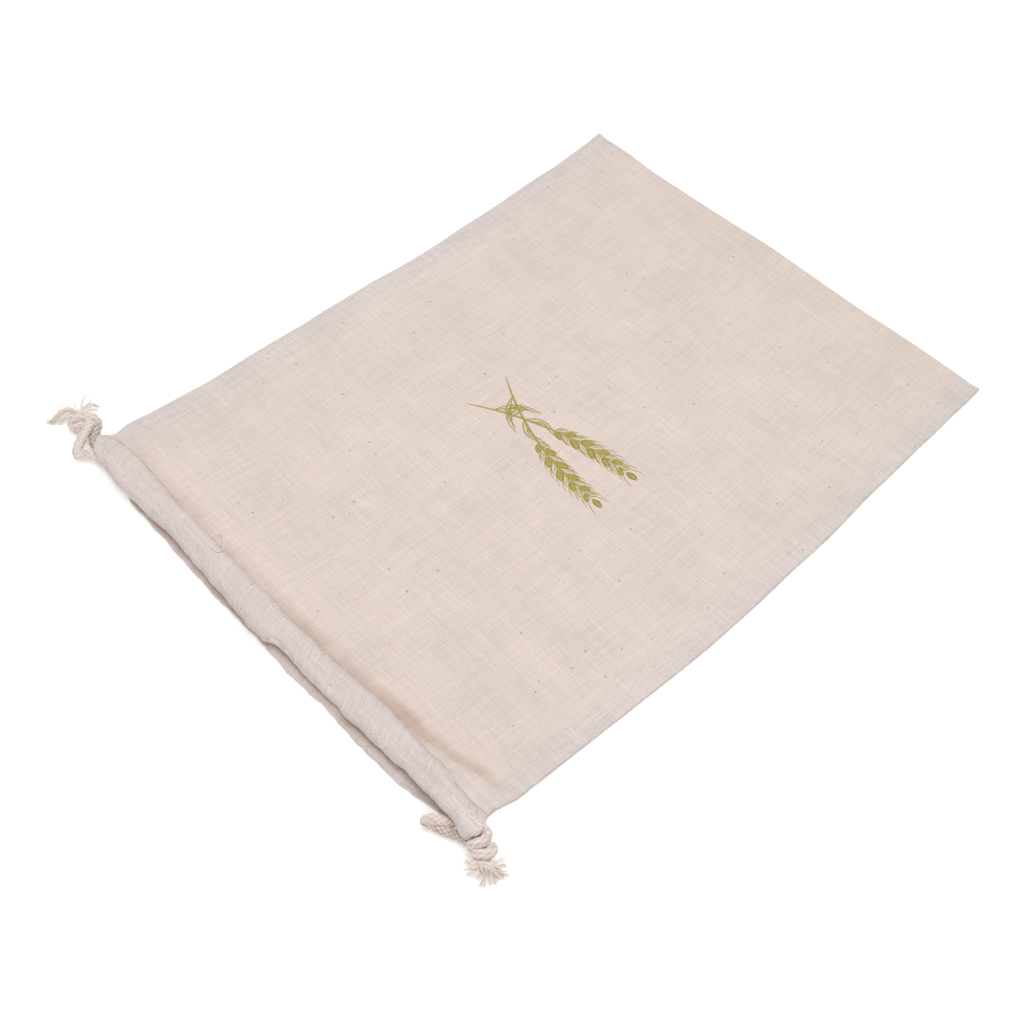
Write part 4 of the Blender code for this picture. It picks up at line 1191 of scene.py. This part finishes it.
def front_channel():
    """Middle of the front's channel: its lower layer, round its cord, and its upper layer.

    Round the cord, y goes out as a power of the cosine of the turn, and z from the lower to the upper layer
    as a power of its sine. At the right end the roll is drawn in by a quarter round, with a small lip, and a
    groove runs along it.
    """
    (under, roll, over), down, turn, up = stretches(9, 17, 22)

    def edge(x):
        """y of the channel's edge: its reach before the cord."""
        return front_line(x)[0] - read(MOUTH, "reach", x)

    def row_y(x):
        """y of all rows: straight to the cord, out round it and back, and straight to the stitching."""
        line, stitch, reach = front_line(x)[0], stitching(x), read(MOUTH, "reach", x)[roll]
        wave = lip_wave(x[roll]) * np.cos(turn) ** 2
        return np.vstack([
            stitch[under] + (line[under] - stitch[under]) * down,
            line[roll] - reach * np.cos(turn) ** roundness(x[roll]) + wave,
            line[over] + (stitch[over] - line[over]) * up,
        ])

    x, y = hem_outline(over.stop, row_y, edge, FRONT_ENDS)
    rolled = x[roll].copy()
    line = front_line(rolled)[0]
    closing = np.clip((rolled[:, -1:] - rolled) / CLOSING, 0, 1)
    drawn = 0.5 + 0.5 * np.sqrt(1 - (1 - closing) ** 2)
    y[roll] = line + (y[roll] - line) * drawn
    z = np.empty_like(x)
    z[under] = front_hem_under(x[under], y[under])
    z[over] = front_hem_top(x[over], y[over])
    low = front_hem_under(rolled, line)
    high = front_hem_top(rolled, line)
    power = roundness(rolled) + (ROUND_ROLL - roundness(rolled)) * (1 - smoothstep(closing))
    lift = np.sign(np.sin(turn)) * np.abs(np.sin(turn)) ** power
    lip = np.sin(2 * np.maximum(turn, 0)) * (1 - closing)
    z[roll] = (low + high) / 2 + (high - low) / 2 * lift - 0.6 * lip
    x[roll] += 1.6 * lip
    groove = bell((z[roll] - 10.8) / 0.9) * smoothstep((x[roll] - 137) / 5)
    y[roll] += 0.75 * groove * np.cos(turn) ** 0.5
    return np.stack([x, y, z], axis=-1)


def front_surface():
    """Middle of the bag's front: the channel, the body, and the fold, which is a half ellipse."""
    x, y, sides = body_outline(body_rows())
    body = np.stack([x, y, body_front(x, y, sides)], axis=-1)
    last_x, last_y, last_z = body[-1].T
    bend = np.linspace(0, math.pi, FOLD_ROWS + 1)[1:, None]
    radius = (last_z - BACK_LEVEL) / 2
    fold_y = last_y + radius * 1.6 * np.sin(bend)
    fold_z = BACK_LEVEL + radius * (1 + np.cos(bend))
    fold = np.stack([np.broadcast_to(last_x, fold_y.shape), fold_y, fold_z], axis=-1)
    return np.concatenate([front_channel(), body, fold])


def back_surface(fold_row):
    """Middle of the bag's back: from the fold along the table, round the mouth's edge, and over its cord.

    Round the edge, y goes out as the cosine of the turn, and z from the lower to the upper layer as its sine.
    """
    shares = body_rows()[::-2]
    x, y, _ = body_outline(shares)
    ahead = BODY_LENGTH * shares[:, None]
    outside = smoothstep((ahead - 2) / 14) * smoothstep((BODY_LENGTH - ahead) / 14)
    x = x - BACK_OUT * outside * (1 - columns())
    body = np.stack([x, y, np.full_like(x, BACK_LEVEL)], axis=-1)
    (under, lip, over), down, turn, up = stretches(8, 9, 26)

    def edge(x):
        """y of the channel's edge."""
        return read(MOUTH, "back", x)

    def row_y(x):
        """y of all rows: straight to the edge, a half circle round it, and straight to the stitching."""
        wave = (0.3 * ripple(x, 0, 15, 41) + 0.22 * ripple(x, 0, 6, 42)) * smoothstep((125 - x) / 20)
        inner = edge(x) + wave + BACK_LIP
        stitch = stitching(x)
        return np.vstack([
            stitch[under] + (inner[under] - stitch[under]) * down,
            inner[lip] - BACK_LIP * np.cos(turn),
            inner[over] + (stitch[over] - inner[over]) * up,
        ])

    x, y = hem_outline(over.stop, row_y, edge, BACK_ENDS)
    z = np.full_like(x, BACK_LEVEL)
    top = back_hem_top(x[lip], edge(x[lip]) + BACK_LIP)
    z[lip] = (BACK_LEVEL + top) / 2 + (top - BACK_LEVEL) / 2 * np.sin(turn)
    z[over] = back_hem_top(x[over], y[over])
    stitched = smoothstep((y[over] - stitching(x[over]) + 3) / 3)
    z[over] += (stitch_level(x[over]) - 1.2 - z[over]) * stitched
    return np.concatenate([fold_row[None], body, np.stack([x, y, z], axis=-1)])


def cloth_tones(surface, rolled):
    """How much each place of a layer is doubled, and how much painted shade it has behind and under the
    channel.

    Cloth is doubled over the turned-in allowances and in the channel. The painted shade behind the channel is
    a bell across a band along the stitching, as strong and as far behind it as its table says. The channel's
    lower edge, under the front roll, has a browner painted shade too: of the rolled front layer only what
    lies under its cord's height, and of the back one all of it.
    """
    x, y, z = np.moveaxis(surface, -1, 0)
    left, right = sides_at(y)
    behind = y - stitching(x)
    over_left = smoothstep((ALLOWANCE + 7 - (x - left)) / 8)
    over_right = 0.85 * smoothstep((ALLOWANCE + 6 - (right - x)) / 9)
    middle = read(TROUGH, "middle", x)
    hem = smoothstep((0.9 + np.maximum(middle - 7.5, 0) - behind + 0.9 * ripple(x, 0, 11, 52)) / 1.6)
    doubled = soft_max(np.maximum(over_left, over_right) * smoothstep(behind / 6), hem, width=0.2)
    # painted shade in the hollow behind the stitching: how strong it is, where it lies and how wide it is
    strength = read(TROUGH, "strength", x) * (0.92 + 0.25 * ripple(x, 0, 40, 31))
    wander = 0.5 * ripple(x, 0, 10, 61)
    wide = 4.3 - 0.13 * (middle - 2.9)
    channel_shade = bell((behind - middle - wander) / wide) * strength * (1 + 0.12 * ripple(x, 0, 7, 62))
    # painted shade under the front roll: its own lower side, and the back's strip beneath it
    if rolled:
        line_y, line_z = front_line(x)
        low = 0.55 * smoothstep((line_z + 2.2 - z) / 3.2) * smoothstep((line_y - y) / 3)
    else:
        low = 0.35 * hem
    patchy = 0.62 + 0.3 * ripple(x, 0, 33, 32) + 0.15 * ripple(x, 0, 9, 33)
    channel_shade = np.maximum(channel_shade, low * patchy * smoothstep(hem * 2))
    return {"doubled": np.clip(doubled, 0, 1), "channel_shade": np.clip(channel_shade, 0, 1)}


front_middle = front_surface()
back_middle = back_surface(front_middle[-1])
for name, middle, rolled in (("bag_front", front_middle, True), ("bag_back", back_middle, False)):
    layer = with_allowances(middle)
    sheet, flat_size = cloth_shell(name, layer, cloth_tones(layer, rolled))
    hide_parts("bag_cloth")


def front_top(x, y):
    """Upper face of the bag's front at any place: the channel before the stitching, the body behind it."""
    stitch = stitching(x)
    channel = front_hem_top(x, np.minimum(y, stitch))
    return np.where(y < stitch, channel, body_front(x, y, sides_at(y))) + CLOTH / 2


# ---------------------------------------------------------------- printed ornament

FILM = 0.05  # height of the ink over the cloth
PRINT_CENTRE = (4.3, -5.4)
STROKE_POINTS = 22
KERNELS = 9  # on each side of an ear

# Two crossed ears of wheat, each from the foot of its stem to its tip, with the side its leaves are on.
EARS = table("foot tip bow leaf", ((-47, -17), (46, 13), 7, 1), ((-47, 15), (46, -15), -7, -1))
LEAVES = table("share length lean", (0.16, 27, 0.42), (0.34, 20, -0.5))


def towards(heading):
    """The direction of a heading in radians."""
    return np.array([math.cos(heading), math.sin(heading)])


def stroke(start, end, bow, width, share=0.5):
    """One pen stroke: points of a parabola between two points, each with the stroke's half width there.

    The half width is the stroke's own times the square root of a sine, so that the ends are round, with the
    widest place moved by the share.
    """
    t = np.linspace(0, 1, STROKE_POINTS)
    way = np.subtract(end, start)
    aside = np.array([-way[1], way[0]]) / max(np.linalg.norm(way), 1e-6)
    line = start + t[:, None] * way + (4 * bow * t * (1 - t))[:, None] * aside
    swelling = np.clip(t ** (math.log(0.5) / math.log(share)), 0.004, 0.996)
    return np.column_stack([line, width / 2 * np.sqrt(np.sin(math.pi * swelling))])


def on_stroke(line, shares):
    """Points of a stroke at shares of the way along it."""
    at = np.linspace(0, 1, STROKE_POINTS)
    return np.stack([np.interp(shares, at, line[:, c]) for c in (0, 1)], axis=-1)


def kernel(base, heading, length, width, filled):
    """A grain of wheat: two bowed strokes that meet in a point, and one between them, wide if filled."""
    way = towards(heading)
    tip = base + way * length
    outline = [stroke(base, tip, side * width / 2, 0.85) for side in (-1, 1)]
    if filled:
        return outline + [stroke(base + way * 0.6, tip - way * 0.9, 0.0, width * 1.25)]
    return outline + [stroke(base + way * 1.6, tip - way * 2.0, 0.2, 0.6)]


def wheat_ear(foot, tip, bow, leaf):
    """A stem, grains with beards on both sides of its upper half, and two long leaves low on it."""
    stem = stroke(foot, tip, bow, 1.3, 0.4)
    strokes = [stem]
    at = np.linspace(0.53, 0.95, KERNELS)
    place = on_stroke(stem, at)
    turn = np.arctan2(*(on_stroke(stem, at + 0.02) - place).T[::-1])
    for k, (base, heading) in enumerate(zip(place, turn)):
        size = 1 - 0.28 * abs(k - 3.5) / 4.5
        for side in (-1, 1):
            lean = heading + side * 0.5
            beard = heading + side * 0.32
            start = base + 0.5 * side * np.array([-math.sin(heading), math.cos(heading)])
            end = base + towards(lean) * 9.4 * size
            strokes += kernel(start, lean, 9.2 * size, 3.3 * size, (k + (side > 0)) % 2 == 0)
            strokes.append(stroke(end, end + towards(beard) * (6.5 + k % 3), side * 0.5, 0.5, 0.35))
    strokes += kernel(np.array(tip), turn[-1], 8.0, 3.0, True)
    stem_heading = math.atan2(tip[1] - foot[1], tip[0] - foot[0])
    for share, length, lean in zip(*LEAVES.values()):
        base = on_stroke(stem, share)
        way = towards(stem_heading + leaf * lean) * length
        for first, last, bowed in ((0.0, 1.0, 5), (0.0, 1.0, 11), (0.2, 0.85, 8)):
            strokes.append(stroke(base + first * way, base + last * way, leaf * lean * bowed, 0.9, 0.4))
    return strokes


def printed_ornament():
    """The ink of all strokes as one thin film on the front of the bag, a closed shell for each stroke.

    A stroke's three columns run from its right to its left, so the shell's quads are turned round.
    """
    strokes = [line for ear in zip(*EARS.values()) for line in wheat_ear(*ear)]
    strokes += [stroke((-27 + dx, -6.5), (-25.5 + dx, 6.0), 0.8, 1.1) for dx in (0.0, 2.2, 4.4)]
    lines = np.array(strokes)
    way = unit(np.gradient(lines[..., :2], axis=1))
    aside = np.stack([-way[..., 1], way[..., 0]], axis=-1)
    across = np.array([-1.0, 0.0, 1.0])
    flat = lines[:, :, None, :2] + lines[:, :, None, 2:] * across[:, None] * aside[:, :, None]
    x, y = (flat + np.array(PRINT_CENTRE)).transpose(3, 0, 1, 2)
    top = np.stack([x, y, front_top(x, y) + FILM], axis=-1)
    under = top - np.array([0.0, 0.0, FILM - 0.01])
    count, rows, cols = x.shape
    points = np.stack([top, under], axis=1).reshape(-1, 3)
    first = np.arange(count) * 2 * rows * cols
    faces = (shell_quads(rows, cols)[:, ::-1] + first[:, None, None]).reshape(-1, 4)
    mesh_piece("printed_wheat_ears", points, faces, PRINTED_LINEN, points[:, :2] * MM, {})


printed_ornament()

# ---------------------------------------------------------------- loose fibres

# Each by the four points of its line and its thickness.
LOOSE_FIBRES = (
    ((-61.5, -182.1), (-56.0, -183.0), (-50.1, -189.4), (-53.6, -192.0), 0.8),
    ((39.6, -155.2), (40.0, -156.0), (40.5, -156.8), (41.2, -157.4), 0.55),
)
LOOSE_POINTS = 12


def loose_fibres():
    """Short stray fibres on the front, each a thin tube along the cubic through its four points."""
    lines = np.array([line[:4] for line in LOOSE_FIBRES])
    half = np.array([line[4] for line in LOOSE_FIBRES])[:, None] / 2
    x, y = cubic_through(lines, np.tile(np.linspace(0, 1, LOOSE_POINTS), (len(lines), 1))).transpose(2, 0, 1)
    paths = np.stack([x, y, front_top(x, y) + half], axis=-1)
    points, faces = fibres(paths, half * np.sin(math.pi * np.linspace(0.15, 0.85, LOOSE_POINTS)))
    values = {"braid_depth": np.zeros(len(points))}
    fluff = mesh_piece("loose_fibres", points, faces, LOOSE_COTTON, points[:, :2] * MM, values)


loose_fibres()
